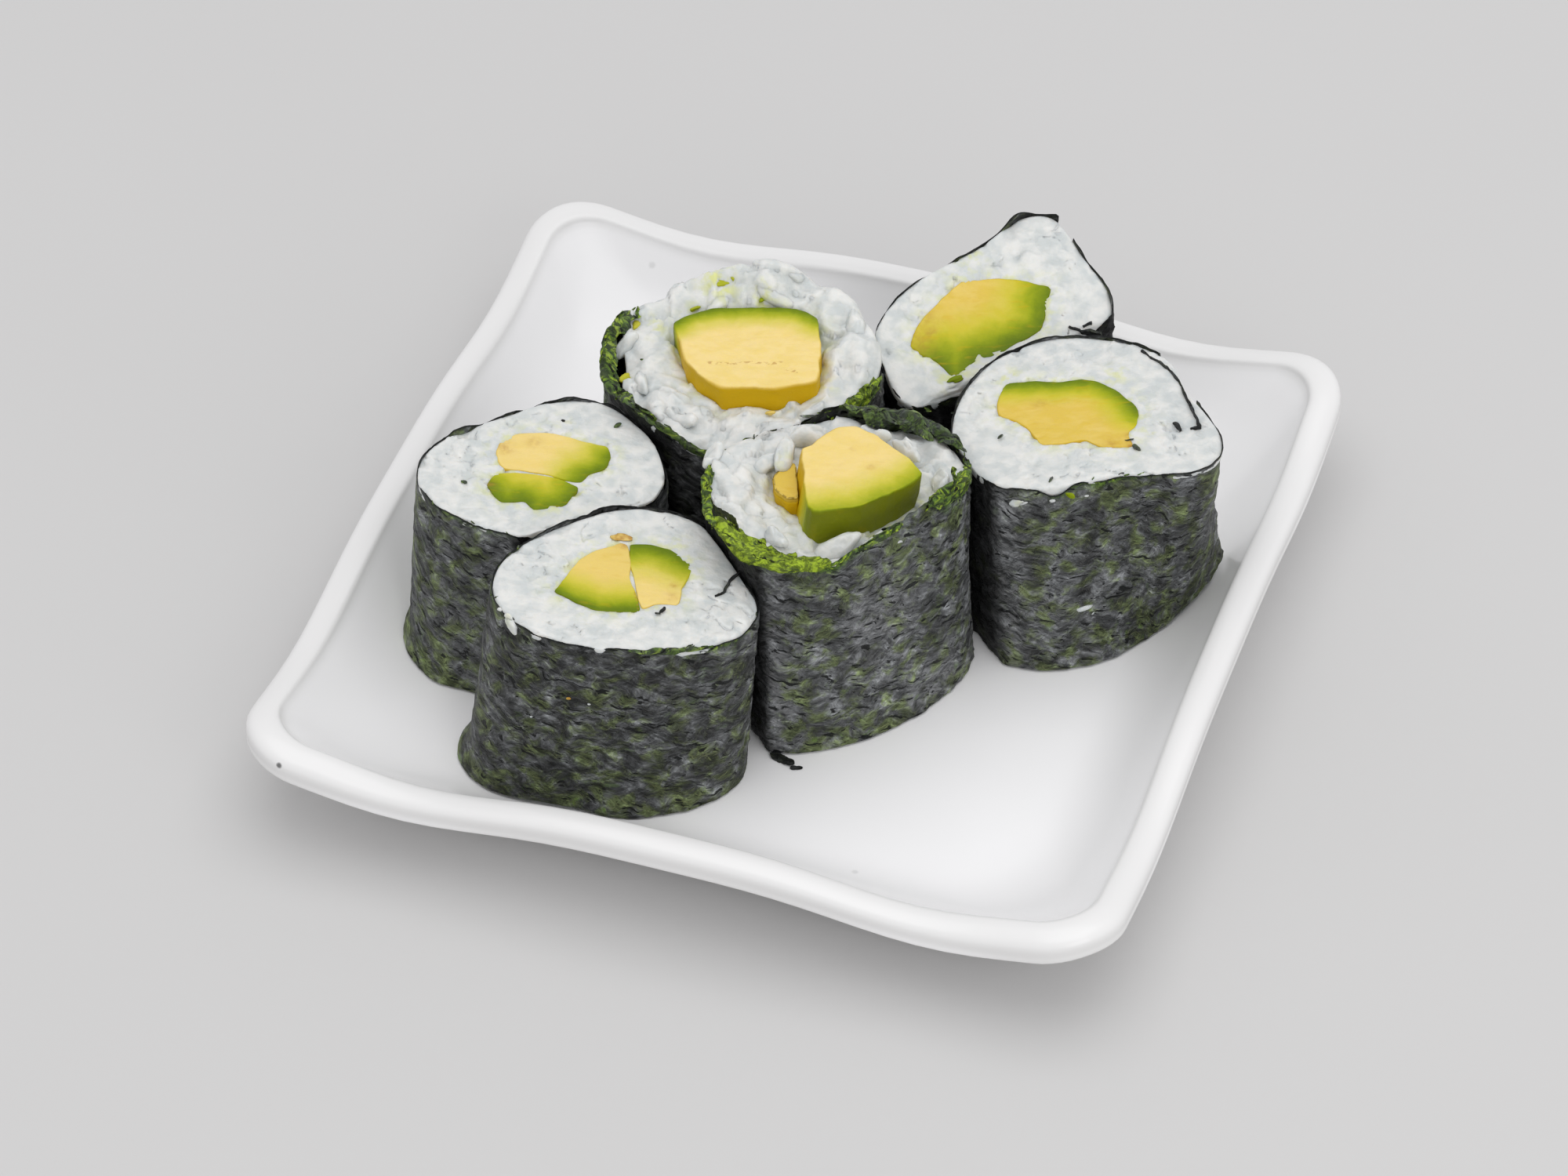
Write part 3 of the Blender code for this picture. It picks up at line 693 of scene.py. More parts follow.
# Loose flaps of torn seaweed in the frame of a cut: roll, across, along, rise, length, width, turn and tip in
# degrees, and how bright they are.
FLAPS = (
    ("4", 4.6, 15.2, 0.6, 5.0, 1.2, 168.0, 50.0, 0.3), ("4", 9.6, 13.2, 0.8, 4.0, 1.0, 146.0, 40.0, 0.35),
    ("4", 16.8, 4.6, 2.2, 3.4, 1.0, 112.0, 60.0, 0.6), ("4", 17.6, 2.4, 2.6, 3.0, 0.9, 92.0, 40.0, 0.7),
    ("1", 18.9, 0.4, 0.9, 3.0, 0.9, 80.0, 45.0, 0.95), ("1", 18.0, -3.4, 0.6, 2.4, 0.8, 64.0, 30.0, 0.7),
    ("1", -17.4, 4.6, 1.9, 2.6, 0.9, 110.0, 40.0, 0.8), ("1", -8.3, -16.2, 2.2, 3.5, 1.0, -28.0, 50.0, 0.6),
    ("5", 10.5, -4.5, 0.12, 1.3, 0.6, 20.0, 20.0, 0.1), ("5", 12.1, -6.2, 0.12, 1.5, 0.6, -30.0, 20.0, 0.1),
    ("5", -7.3, -8.1, 0.12, 0.9, 0.4, 50.0, 20.0, 0.1), ("5", 2.4, -15.3, 0.1, 1.2, 0.4, 80.0, 20.0, 0.1),
    ("5", 11.7, -12.2, 0.1, 0.8, 0.4, 10.0, 20.0, 0.1), ("3", 7.4, -3.7, 0.12, 1.5, 0.5, 76.0, 20.0, 0.0),
    ("3", 7.0, -4.6, 0.1, 0.8, 0.4, 10.0, 20.0, 0.0), ("2", 6.0, 13.2, 0.12, 1.2, 0.5, 60.0, 30.0, 0.3),
    ("2", -1.5, 11.1, 0.12, 0.6, 0.4, 0.0, 20.0, 0.0), ("2", -9.4, -7.0, 0.12, 0.9, 0.5, 20.0, 20.0, 0.4),
    ("1", -13.6, -3.6, 0.9, 1.2, 0.5, 10.0, 30.0, 0.6),
)
# Flaps that lie on the dish: place on it, length, width, turn in degrees.
FLAKES = ((6.6, -30.7, 4.0, 1.5, -14.0), (9.0, -31.6, 1.8, 0.8, 20.0))

# Grains that lie loose or stand out: roll, across, along, rise, length, width, turn and tip in degrees.
GRAINS = (
    ("1", -17.0, -1.0, 0.4, 5.4, 2.5, 60.0, 34.0), ("4", -7.4, 2.9, 0.9, 6.4, 2.3, 100.0, 12.0),
    ("4", 4.9, -11.2, -0.9, 7.4, 3.0, 34.0, 26.0), ("4", 10.6, -8.2, -0.4, 5.4, 2.8, 30.0, 10.0),
    ("4", -9.6, 1.6, -0.1, 5.8, 2.8, 60.0, 16.0), ("4", -6.0, 8.6, -0.4, 6.0, 2.7, 30.0, 10.0),
    ("4", 2.4, 11.6, -0.7, 5.6, 2.8, 10.0, 14.0), ("4", 7.9, 10.3, -0.5, 5.8, 2.6, -38.0, 12.0),
    ("4", 14.4, 5.6, -0.5, 6.2, 2.8, -62.0, 14.0), ("4", -17.0, -0.2, 0.5, 4.6, 1.7, 82.0, 20.0),
    ("4", -3.6, -12.2, -0.4, 5.2, 3.0, -40.0, 16.0), ("1", -4.6, -13.8, 0.1, 6.0, 2.8, -24.0, 12.0),
    ("1", 9.8, -12.2, 0.3, 6.2, 2.7, 40.0, 8.0), ("1", -12.6, -8.4, 0.3, 5.6, 2.7, -50.0, 20.0),
    ("1", 13.6, 10.6, 1.7, 5.8, 2.7, 120.0, 24.0), ("1", -13.0, 9.6, 1.9, 5.2, 2.6, 40.0, 30.0),
)

# Grains stuck to a wrap: roll, direction in degrees, height, length and width in millimetres, turn in degrees, and
# how green they are.
STUCK_GRAINS = (
    ("5", -70.0, 10.0, 2.5, 0.8, 5.0, 0.0), ("3", -136.0, 31.4, 1.0, 0.6, 40.0, 0.0),
    ("5", -93.0, 29.6, 1.6, 0.5, 20.0, 0.1), ("5", -80.0, 29.8, 0.9, 0.5, 0.0, 0.1),
    ("5", -64.0, 29.4, 1.2, 0.5, -10.0, 0.1), ("2", -100.0, 12.0, 0.5, 0.4, 0.0, 0.0),
    ("3", -84.0, 20.5, 0.5, 0.3, 0.0, 0.0), ("3", -112.0, 16.0, 0.4, 0.3, 0.0, 0.0),
    ("5", -66.0, 8.6, 0.5, 0.3, 30.0, 0.0), ("3", -127.0, 30.6, 2.6, 1.7, -40.0, 0.35),
    ("3", -129.5, 31.6, 1.4, 1.0, 20.0, 0.35), ("5", -96.0, 29.6, 2.2, 1.2, 15.0, 0.5),
)
# Fruit stuck to a wrap: as the grains, and how brown it is.
STUCK_FRUIT = (("3", -95.0, 21.0, 0.7, 0.4, 10.0, 0.9),)

# Mashed fruit: roll, across, along, rise, length, width, height, turn in degrees, and depth below the skin.
SMEARS = (
    ("1", -17.2, 3.2, 0.4, 2.2, 1.3, 1.4, 80.0, 2.6), ("1", -15.0, -8.0, 0.3, 1.8, 1.2, 1.2, 60.0, 2.4),
    ("1", -7.4, 11.2, 4.3, 2.6, 1.2, 0.6, 20.0, 2.2), ("1", -5.4, 12.2, 4.8, 1.2, 0.6, 0.5, -30.0, 2.2),
    ("1", -9.6, 6.8, 2.6, 1.8, 0.6, 0.6, 52.0, 1.6), ("1", -0.6, 10.6, 3.6, 1.6, 0.7, 0.7, 70.0, 1.2),
    ("1", 7.7, -9.9, 1.2, 1.4, 0.8, 0.5, 20.0, 5.0), ("3", -2.9, 8.0, 0.02, 2.8, 1.4, 0.22, 20.0, 6.0),
    ("5", 6.0, -17.6, -0.3, 1.6, 0.8, 0.6, -20.0, 1.0), ("6", -2.6, -9.3, 0.1, 2.2, 1.1, 0.5, 40.0, 0.6),
    ("4", -12.9, -5.0, 0.4, 2.0, 0.9, 0.8, 80.0, 0.9),
)

# Places where rice has taken on the green of the fruit: roll, across, along, radius and strength.
STAINS = (
    ("1", -7.7, 11.2, 2.4, 1.3), ("1", -6.1, 10.1, 1.8, 1.2), ("1", -9.5, 6.2, 1.8, 1.2),
    ("1", -0.4, 10.2, 1.6, 1.2), ("1", 13.4, -2.0, 1.4, 1.0), ("1", -14.4, 3.0, 2.0, 1.0),
    ("6", -7.4, 8.2, 2.2, 0.8), ("6", -6.3, 10.9, 1.8, 0.9), ("6", -3.4, -9.8, 1.8, 1.2),
    ("5", 4.6, 9.0, 2.2, 0.8), ("5", -10.3, 5.0, 2.0, 1.1), ("5", 12.6, -1.6, 1.6, 0.8),
    ("3", -6.6, 3.6, 2.4, 0.7), ("3", 4.6, 10.0, 1.8, 0.7), ("2", -1.6, 10.6, 1.8, 0.5),
    ("2", -8.4, 3.6, 1.8, 0.7),
)

# Places where the foot of a wrap flares: roll, direction and width in degrees, reach and height in millimetres.
FLARES = (
    ("3", -166.0, 22.0, 1.5, 3.6), ("3", -62.0, 16.0, 0.8, 2.6), ("2", -150.0, 24.0, 0.8, 3.0),
    ("5", -58.0, 20.0, 0.7, 3.0), ("4", -52.0, 18.0, 0.6, 2.5),
)

# Specks on the rim and faint marks on the glaze: place, reach in millimetres and colour.
DISH_SPECKS = (
    (-55.3, -63.2, 16.0, 0.5, (0.05, 0.05, 0.05)), (-39.8, -64.4, 13.7, 0.45, (0.35, 0.14, 0.09)), (-44.5,
    56.7, 12.1, 0.7, (0.78, 0.78, 0.78)), (23.3, -48.3, 5.9, 0.6, (0.78, 0.78, 0.78)),
)

# Nicks in a cut edge: roll, direction in degrees, width and depth in millimetres.
NICKS = (
    ("6", 97.0, 1.6, -1.4), ("6", 120.0, 2.2, -0.8), ("6", 80.0, 1.6, -0.9), ("6", 64.0, 1.2, -0.7),
    ("6", 34.0, 1.8, -0.9), ("6", 22.0, 1.2, -0.6), ("6", 131.0, 1.2, -0.5), ("5", 120.0, 3.0, -0.35),
    ("5", 90.0, 2.0, -0.4), ("5", 66.0, 2.4, -0.5), ("3", 150.0, 3.0, -0.35), ("3", 120.0, 2.0, -0.4),
    ("3", 20.0, 2.0, -0.5), ("3", -2.0, 1.4, -0.5), ("2", 165.0, 2.5, -0.4), ("2", 98.0, 1.5, -0.4),
    ("5", 34.0, 6.0, 0.8), ("2", 18.0, 12.0, 0.9), ("3", 48.0, 9.0, 0.7), ("3", -8.0, 3.0, 0.4),
    ("2", -150.0, 2.0, 0.5), ("2", 152.0, 2.2, 0.5), ("2", 120.0, 1.6, 0.4), ("6", 60.0, 3.0, 0.6),
    ("6", 108.0, 3.0, 0.6), ("6", 140.0, 4.0, 0.7), ("5", 60.0, 3.0, 0.3), ("5", -78.0, 1.7, 1.1),
    ("5", -52.0, 2.5, 0.5), ("3", -100.0, 3.0, 0.35), ("2", -75.0, 3.0, 0.3), ("6", 150.0, 2.0, 0.4),
)


# Meshes -------------------------------------------------------------------------------------


def add_piece(name, points, faces, finish, replaces=(), marks=None, flows=None):
    """A smooth piece from points in millimetres, riding on the dish's body."""
    data = bpy.data.meshes.new(name)
    data.from_pydata((points * MM).tolist(), [], faces if isinstance(faces, list) else faces.tolist())
    for label, values in (marks or {}).items():
        data.attributes.new(label, "FLOAT", "POINT").data.foreach_set("value", np.asarray(values, np.float32))
    for label, values in (flows or {}).items():
        layer = data.attributes.new(label, "FLOAT_VECTOR", "POINT")
        layer.data.foreach_set("vector", np.asarray(values, np.float32).ravel())
    data.shade_smooth()
    data.materials.append(finish)
    piece = bpy.data.objects.new(name, data)
    bpy.context.scene.collection.objects.link(piece)
    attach(piece, BODY)
    if replaces:
        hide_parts(*replaces)
    return piece


def grid_faces(rows, columns, start=0, wrap_columns=False, flip=False):
    """Four-cornered faces over a grid of points laid out row by row."""
    last = columns if wrap_columns else columns - 1
    row, column = np.meshgrid(np.arange(rows - 1), np.arange(last), indexing="ij")
    after = (column + 1) % columns
    faces = np.stack([row * columns + column, row * columns + after, (row + 1) * columns + after,
                      (row + 1) * columns + column], axis=-1).reshape(-1, 4) + start
    return faces[:, ::-1] if flip else faces


def grid_normal(points):
    """Directions square to a grid of points."""
    return unit(np.cross(np.gradient(points, axis=0), np.gradient(points, axis=1)))


class Batch:
    """Small shapes gathered into one piece, with the numbers and places that their points carry."""

    def __init__(self):
        self.points, self.faces, self.sheet, self.marks, self.count = [], [], [], {}, 0

    def add(self, points, faces, sheet=None, **marks):
        self.points.append(points)
        self.faces.append(faces + self.count)
        if sheet is not None:
            self.sheet.append(sheet)
        for name, values in marks.items():
            self.marks.setdefault(name, []).append(np.broadcast_to(values, len(points)))
        self.count += len(points)

    def build(self, name, finish, slot, **marks):
        """Makes the piece; a mark that is given here is one number for all of it, or one for each point."""
        marks = {label: np.broadcast_to(values, self.count) for label, values in marks.items()}
        marks.update((label, np.concatenate(values)) for label, values in self.marks.items())
        add_piece(name, np.concatenate(self.points), np.concatenate(self.faces), finish, (), marks,
                  {"sheet": np.concatenate(self.sheet)} if self.sheet else None)


def closed_skin(rings):
    """Points and faces of a closed body through rings, with a point at the middle of each end."""
    count, around = rings.shape[:2]
    points = np.concatenate([rings.reshape(-1, 3), rings[:1].mean(axis=1), rings[-1:].mean(axis=1)])
    faces = grid_faces(count, around, wrap_columns=True).tolist()
    for hub, row, way in ((len(points) - 2, 0, -1), (len(points) - 1, count - 1, 1)):
        for index in range(around):
            pair = (row * around + index, row * around + (index + 1) % around)
            faces.append([hub, *pair[::way]])
    return points, faces


# Finishes -----------------------------------------------------------------------------------


class Value:
    """A shader socket that can be used in sums like a number."""

    def __init__(self, finish, socket):
        self.finish, self.socket = finish, socket

    def sum(self, operation, *parts):
        return self.finish.value("ShaderNodeMath", {"operation": operation}, dict(enumerate(parts)))

    def __add__(self, other): return self.sum("ADD", self, other)
    def __radd__(self, other): return self.sum("ADD", other, self)
    def __sub__(self, other): return self.sum("SUBTRACT", self, other)
    def __rsub__(self, other): return self.sum("SUBTRACT", other, self)
    def __mul__(self, other): return self.sum("MULTIPLY", self, other)
    def __rmul__(self, other): return self.sum("MULTIPLY", other, self)
    def __pow__(self, other): return self.sum("POWER", self, other)

    def least(self, other):
        return self.sum("MINIMUM", self, other)

    def most(self, other):
        return self.sum("MAXIMUM", self, other)

    def step(self, low, high):
        """0 at low, 1 at high, smooth between; low may be the greater."""
        settings = {"interpolation_type": "SMOOTHSTEP", "clamp": True}
        inputs = {"Value": self, "From Min": low, "From Max": high}
        if low > high:
            inputs.update({"From Min": high, "From Max": low, "To Min": 1.0, "To Max": 0.0})
        return self.finish.value("ShaderNodeMapRange", settings, inputs)


class Finish:
    """A material that is put together from sums of its textures."""

    def __init__(self, name, roughness=0.5, **constants):
        self.material = bpy.data.materials.new(name)
        self.material.use_nodes = True
        self.tree = self.material.node_tree
        self.shader = self.tree.nodes["Principled BSDF"]
        self.shader.inputs["Roughness"].default_value = roughness
        for socket, value in constants.items():
            self.shader.inputs[socket.replace("_", " ")].default_value = value

    def node(self, kind, settings=None, inputs=None):
        """Any node: its settings are set first, then its sockets are given values or links."""
        made = self.tree.nodes.new(kind)
        for name, value in (settings or {}).items():
            setattr(made, name, value)
        for name, value in (inputs or {}).items():
            self.feed(made.inputs[name], value)
        return made

    def value(self, kind, settings=None, inputs=None, output=0):
        """What a node gives out, for use in sums."""
        return Value(self, self.node(kind, settings, inputs).outputs[output])

    def feed(self, socket, value):
        if isinstance(value, Value):
            value = value.socket
        if isinstance(value, bpy.types.NodeSocket):
            self.tree.links.new(value, socket)
        elif socket.type == "RGBA":
            socket.default_value = (*value, 1.0)
        else:
            socket.default_value = value

    def mark(self, name):
        """A number that the mesh carries."""
        return self.value("ShaderNodeAttribute", {"attribute_name": name}, output="Fac")

    def flow(self, name):
        """A place or direction that the mesh carries."""
        return self.node("ShaderNodeAttribute", {"attribute_name": name}).outputs["Vector"]

    def place(self):
        """Where a point is on the piece, in millimetres."""
        coords = self.node("ShaderNodeTexCoord").outputs["Object"]
        return self.vector("SCALE", coords, scale=1.0 / MM)

    def vector(self, operation, first, second=None, scale=None):
        inputs = {name: value for name, value in ((0, first), (1, second), ("Scale", scale)) if value is not None}
        return self.node("ShaderNodeVectorMath", {"operation": operation}, inputs).outputs[0]

    def away(self, where, spot):
        """How far a place is from a spot."""
        return self.value("ShaderNodeVectorMath", {"operation": "DISTANCE"}, {0: where, 1: spot}, "Value")

    def noise(self, where, size, detail=2.0, roughness=0.5):
        """Chance shades from 0 to 1, about size millimetres apart."""
        inputs = {"Vector": where, "Scale": 1.0 / size, "Detail": detail, "Roughness": roughness}
        return self.value("ShaderNodeTexNoise", {}, inputs)

    def sway(self, where, size, amount):
        """The same place, led astray by up to about amount."""
        inputs = {"Vector": where, "Scale": 1.0 / size, "Detail": 2.0}
        centred = self.vector("SUBTRACT", self.node("ShaderNodeTexNoise", {}, inputs).outputs[1], (0.5, 0.5, 0.5))
        return self.vector("ADD", where, self.vector("SCALE", centred, scale=2.0 * amount))

    def stretched(self, where, degrees, long_size, short_size):
        """Turns a flat place and stretches it, so that what it feeds runs in long strokes."""
        inputs = {"Vector": where, "Rotation": (0.0, 0.0, math.radians(degrees)),
                  "Scale": (long_size, short_size, long_size)}
        return self.node("ShaderNodeMapping", {"vector_type": "TEXTURE"}, inputs).outputs[0]

    def streaks(self, where, degrees, long_size, short_size, detail=3.0, roughness=0.55):
        """Chance shades in long strokes that lie in one direction."""
        return self.noise(self.stretched(where, degrees, long_size, short_size), 1.0, detail, roughness)

    def mix(self, share, first, second):
        """A colour between two."""
        settings = {"data_type": "RGBA", "clamp_factor": True}
        return self.node("ShaderNodeMix", settings, {0: share, 6: first, 7: second}).outputs[2]

    def bump(self, *layers):
        """Lays heights over each other; each layer is a height from 0 to 1 and its depth in millimetres."""
        normal = None
        for height, depth in layers:
            inputs = {"Height": height, "Distance": depth * MM, "Strength": 1.0}
            if normal is not None:
                inputs["Normal"] = normal
            normal = self.node("ShaderNodeBump", {}, inputs).outputs["Normal"]
        self.feed(self.shader.inputs["Normal"], normal)

    def done(self, **sockets):
        for name, value in sockets.items():
            self.feed(self.shader.inputs[name.replace("_", " ")], value)
        return self.material


def dish_finish(look):
    """White glazed melamine, a little scuffed, with faint grey marks, and a rim painted darker as painted shade."""
    finish = Finish("dish_glaze", IOR=1.5)
    place = finish.place()
    cloud = finish.noise(place, 30.0, 3.0)
    scuff = finish.noise(finish.sway(place, 14.0, 3.0), 4.0, 3.0)
    colour = finish.mix(cloud * 0.5, look.colour, [0.97 * part for part in look.colour])
    # Painted shade: the rim is painted darker than the rest of the glaze, to tone down its brightly lit bead.
    colour = finish.mix(finish.mark("rim"), colour, look.rim)
    for *spot, reach, shade in DISH_SPECKS:
        near = (finish.away(place, spot) + 0.5 * reach * scuff).step(1.3 * reach, 0.6 * reach)
        colour = finish.mix(near * 0.85, colour, shade)
    finish.bump((finish.noise(place, 9.0, 1.0), 0.03))
    return finish.done(Base_Color=colour, Roughness=look.gloss + 0.04 * scuff + 0.06 * cloud)


def seaweed_finish(look):
    """Moist pressed seaweed: blotched slate and olive with strands, with painted shade in its crevices, beside its
    strands and between the rolls, painted sheen on its creases, and torn edges painted bright green with painted
    glints and light shining through them.
    """
    finish = Finish("seaweed_sheet", Specular_IOR_Level=0.2)
    sheet = finish.flow("sheet")
    torn, foot, rim, crease = (finish.mark(name) for name in ("torn", "foot", "rim", "crease"))
    pale, gap = finish.mark("pale"), finish.mark("gap")
    swayed = finish.sway(sheet, 4.5, 1.8)
    broad = finish.noise(sheet, 8.0, 3.0)
    blotch = finish.noise(swayed, 2.8, 4.0, 0.55)
    patch = finish.noise(finish.vector("ADD", swayed, (31.0, 17.0, 5.0)), 2.9, 5.0, 0.6)
    fine = finish.noise(swayed, 0.3, 3.0, 0.6)
    rising = finish.streaks(swayed, 27.0, 2.6, 0.62, 4.0, 0.6)
    falling = finish.streaks(swayed, -32.0, 2.0, 0.6, 4.0, 0.6)
    crinkle = rising * 0.6 + falling * 0.4

    def strokes(degrees, long_size, short_size, low, high):
        """Short separate strokes that lie in one direction, in some places only."""
        where = finish.noise(finish.vector("ADD", sheet, (degrees, degrees, 0.0)), 2.6, 2.0).step(0.42, 0.58)
        return finish.streaks(swayed, degrees, long_size, short_size).step(low, high) * where

    moss = (patch + 0.12 * (broad - 0.5) + 0.08 * foot - 0.10 * crease).step(0.45, 0.64)
    colour = finish.mix(moss, look.slate, look.olive)
    # pale makes each roll's seaweed lighter: partly its own tone, partly painted light for how brightly that roll is
    # lit; crease adds painted sheen.
    light = (blotch * 0.8 + crinkle * 0.95 + fine * 0.25) ** (10.2 - 2.6 * pale) * 1.2
    colour = finish.vector("SCALE", colour, scale=light * pale * (1.0 + 0.4 * crease))
    # Light strokes: partly the sheet's dry strands, partly painted glints of light on its crinkles.
    strands_and_glints = strokes(8.0, 2.4, 0.26, 0.54, 0.68).most(strokes(42.0, 2.0, 0.24, 0.54, 0.68))
    strands_and_glints = strands_and_glints.most(strokes(-38.0, 1.9, 0.25, 0.54, 0.68)).most(strokes(24.0, 3.0, 0.3, 0.56, 0.7))
    fibre = finish.mix(moss, look.strands_and_glints, look.green)
    colour = finish.mix(strands_and_glints * (0.16 + 0.34 * moss), colour, fibre)
    shadow = strokes(18.0, 1.8, 0.4, 0.56, 0.66).most(strokes(-26.0, 1.6, 0.36, 0.58, 0.68))
    colour = finish.mix(shadow * 0.45, colour, (0.014, 0.016, 0.014))
    # Painted light: patches painted green as if light shone through thin seaweed, more towards the foot.
    glow = finish.noise(swayed, 2.2, 3.0).step(0.6, 0.72) * (0.25 + foot * 0.5).least(1.0)
    colour = finish.mix(glow * crinkle.step(0.4, 0.6), colour, look.leaf)
    # Painted sheen: creases against neighbouring rolls, and some patches, are painted lighter as light reflected off
    # the moist sheet.
    painted_sheen = crease * crinkle.step(0.42, 0.62)
    colour = finish.mix(painted_sheen * 0.34, colour, look.painted_sheen)
    # Torn edges: partly the green of thin seaweed, partly painted light shining through it, with painted glints in the
    # bright colour.
    tuft = (torn * 2.2 * (0.35 + patch)).least(1.0) * (0.55 + 0.45 * crinkle.step(0.36, 0.54))
    glint = (rising + 0.35 * (torn - 0.6)).step(0.42, 0.58)
    leafy = finish.mix(glint, look.leaf, look.bright)
    # Painted shade in the crumples of the torn edges.
    crumple_shade = finish.noise(swayed, 0.75, 3.0, 0.6)
    leafy = finish.mix(crumple_shade.step(0.56, 0.44) * (1.15 - 0.5 * torn), leafy, (0.016, 0.034, 0.006))
    colour = finish.mix(tuft, colour, leafy)
    # Painted shade: dark strokes in the crevices, where shade falls.
    crevice_shade = finish.streaks(swayed, 14.0, 2.6, 0.75).step(0.61, 0.65)
    colour = finish.mix(crevice_shade * 0.95, colour, (0.003, 0.004, 0.004))
    colour = finish.mix(rim, colour, (0.007, 0.008, 0.008))
    # Painted shade: the sheet is painted darker where it nearly touches a neighbouring roll.
    colour = finish.vector("SCALE", colour, scale=1.0 - 0.85 * gap)
    finish.bump((blotch, 0.3), (crinkle, 0.36), (strands_and_glints, 0.1), (shadow, -0.12), (crevice_shade, -0.3), (fine, 0.06))
    return finish.done(Base_Color=colour, Roughness=0.36 + 0.3 * fine)


def rice_finish(look):
    """Steamed rice: white clouded with bluish grey, faintly stained next to the fruit."""
    finish = Finish("steamed_rice", Subsurface_Weight=0.6, Subsurface_Scale=0.0016,
                    Subsurface_Radius=(1.0, 0.9, 0.8), Specular_IOR_Level=0.45)
    place = finish.place()
    tone, stain, heap = (finish.mark(name) for name in ("tone", "stain", "heap"))
    cloud = finish.noise(finish.sway(place, 3.0, 1.0), 2.2, 3.0)
    fine = finish.noise(place, 0.5, 3.0)
    patches = {"Vector": finish.sway(place, 2.0, 0.7), "Scale": 1.0 / 3.4}
    glassy = finish.value("ShaderNodeTexVoronoi", {}, patches, "Color")
    white = (tone * 0.10 + cloud - (glassy - 0.6).most(0.0) * (0.42 + 0.03 * heap)).step(0.30, 0.74)
    colour = finish.mix(white, look.shade, look.white)
    patchy = finish.noise(place, 1.6, 3.0)
    colour = finish.mix(stain * patchy.step(0.42, 0.64) * 0.8, colour, look.stain)
    finish.bump((cloud, 0.17), (finish.noise(place, 1.1, 2.0), 0.12), (fine, 0.04))
    return finish.done(Base_Color=colour, Roughness=0.32 + 0.25 * fine)


def avocado_finish(look):
    """Ripe flesh, pale at the stone and green at the skin, with fine bruises, and sides painted darker, partly as
    painted shade.
    """
    finish = Finish("avocado_flesh", Subsurface_Weight=0.12, Subsurface_Scale=0.0012,
                    Subsurface_Radius=(1.0, 0.8, 0.1), Specular_IOR_Level=0.16)
    place = finish.place()
    patch = finish.noise(finish.sway(place, 4.0, 1.5), 3.2, 4.0, 0.6)
    depth = finish.mark("skin") + (patch - 0.5) * 2.0
    side, deep = finish.mark("side"), finish.mark("deep")
    grain = finish.streaks(finish.sway(place, 3.0, 1.0), 12.0, 3.2, 1.7)
    flesh = finish.mix(grain.step(0.32, 0.66), look.flesh, look.pale)
    flesh = finish.mix((deep * (0.75 + 0.9 * (grain - 0.5) * 2.0 + 0.4)).least(1.0), flesh, look.deep)
    # The sides are painted darker and more orange than the top: partly the cut side's own colour, partly painted
    # shade.
    flesh = finish.mix(side, flesh, look.ochre)
    green = finish.mix(depth.step(-0.1, 1.8), look.rind, look.green)
    # The green at the sides is painted darker too, partly as painted shade.
    green = finish.mix(side * depth.step(2.0, 0.4), green, look.olive)
    colour = finish.mix(depth.step(6.2, 2.0) * 0.85, flesh, look.lime)
    colour = finish.mix(depth.step(3.5, 0.9), colour, green)
    fine = finish.noise(place, 0.5, 3.0)
    smear = finish.streaks(place, 20.0, 3.0, 0.8, 3.0, 0.5)
    colour = finish.mix(smear.step(0.56, 0.75) * (0.06 + 0.3 * deep), colour, look.ochre)
    ripple = finish.noise(place, 1.0, 3.0)
    bruise = (finish.mark("bruise") * (0.35 + ripple.step(0.35, 0.65))).least(1.0)
    colour = finish.mix(bruise * 0.85, colour, look.bruise)
    scar = finish.mark("scar").step(0.42, 0.12) * finish.noise(place, 0.8, 2.0).step(0.46, 0.56)
    colour = finish.mix(scar * 0.6, colour, look.bruise)
    finish.bump((patch, 0.22), (smear, 0.1), (fine, 0.05))
    return finish.done(Base_Color=colour, Roughness=0.36 + 0.2 * fine)


# Pieces -------------------------------------------------------------------------------------


def build_dish(look):
    rings = smoothed_rings(dish_rings(), CURVE_STEPS)
    points, faces = closed_skin(rings)
    points[:, 2] = np.maximum(points[:, 2], 0.0)
    out = outside_square(points[:, 0], points[:, 1], DISH_HALF - BEAD_WIDTH - 0.5, BEAD_CORNER)
    # The rim mark says where the painted shade of the rim goes: high up, from the bead's inner edge outwards.
    add_piece("dish", points, faces, dish_finish(look), ["plate"],
              {"rim": eased(points[:, 2], RIM_TOP - 5.0, RIM_TOP - 1.5) * eased(out, -0.3, 1.3)})


def fringe(roll, angle):
    """Strength and depth of the torn edge at an angle."""
    strength, depth = np.zeros(len(angle)), np.ones(len(angle))
    for middle, width, deep, strong in rows_of(FRINGES, roll.name):
        share = bell(turned(angle, math.radians(middle)), 0.0, math.radians(width))
        depth = np.where(share * strong > strength, np.maximum(deep * share, 0.3), depth)
        strength = np.maximum(strength, share * strong)
    return strength, depth


def sheet_rows(count, power=1.7):
    """Levels from foot to cut, close together at both ends."""
    share = np.linspace(-1.0, 1.0, count)
    return 0.5 + 0.5 * np.sign(share) * (1.0 - (1.0 - abs(share)) ** power)


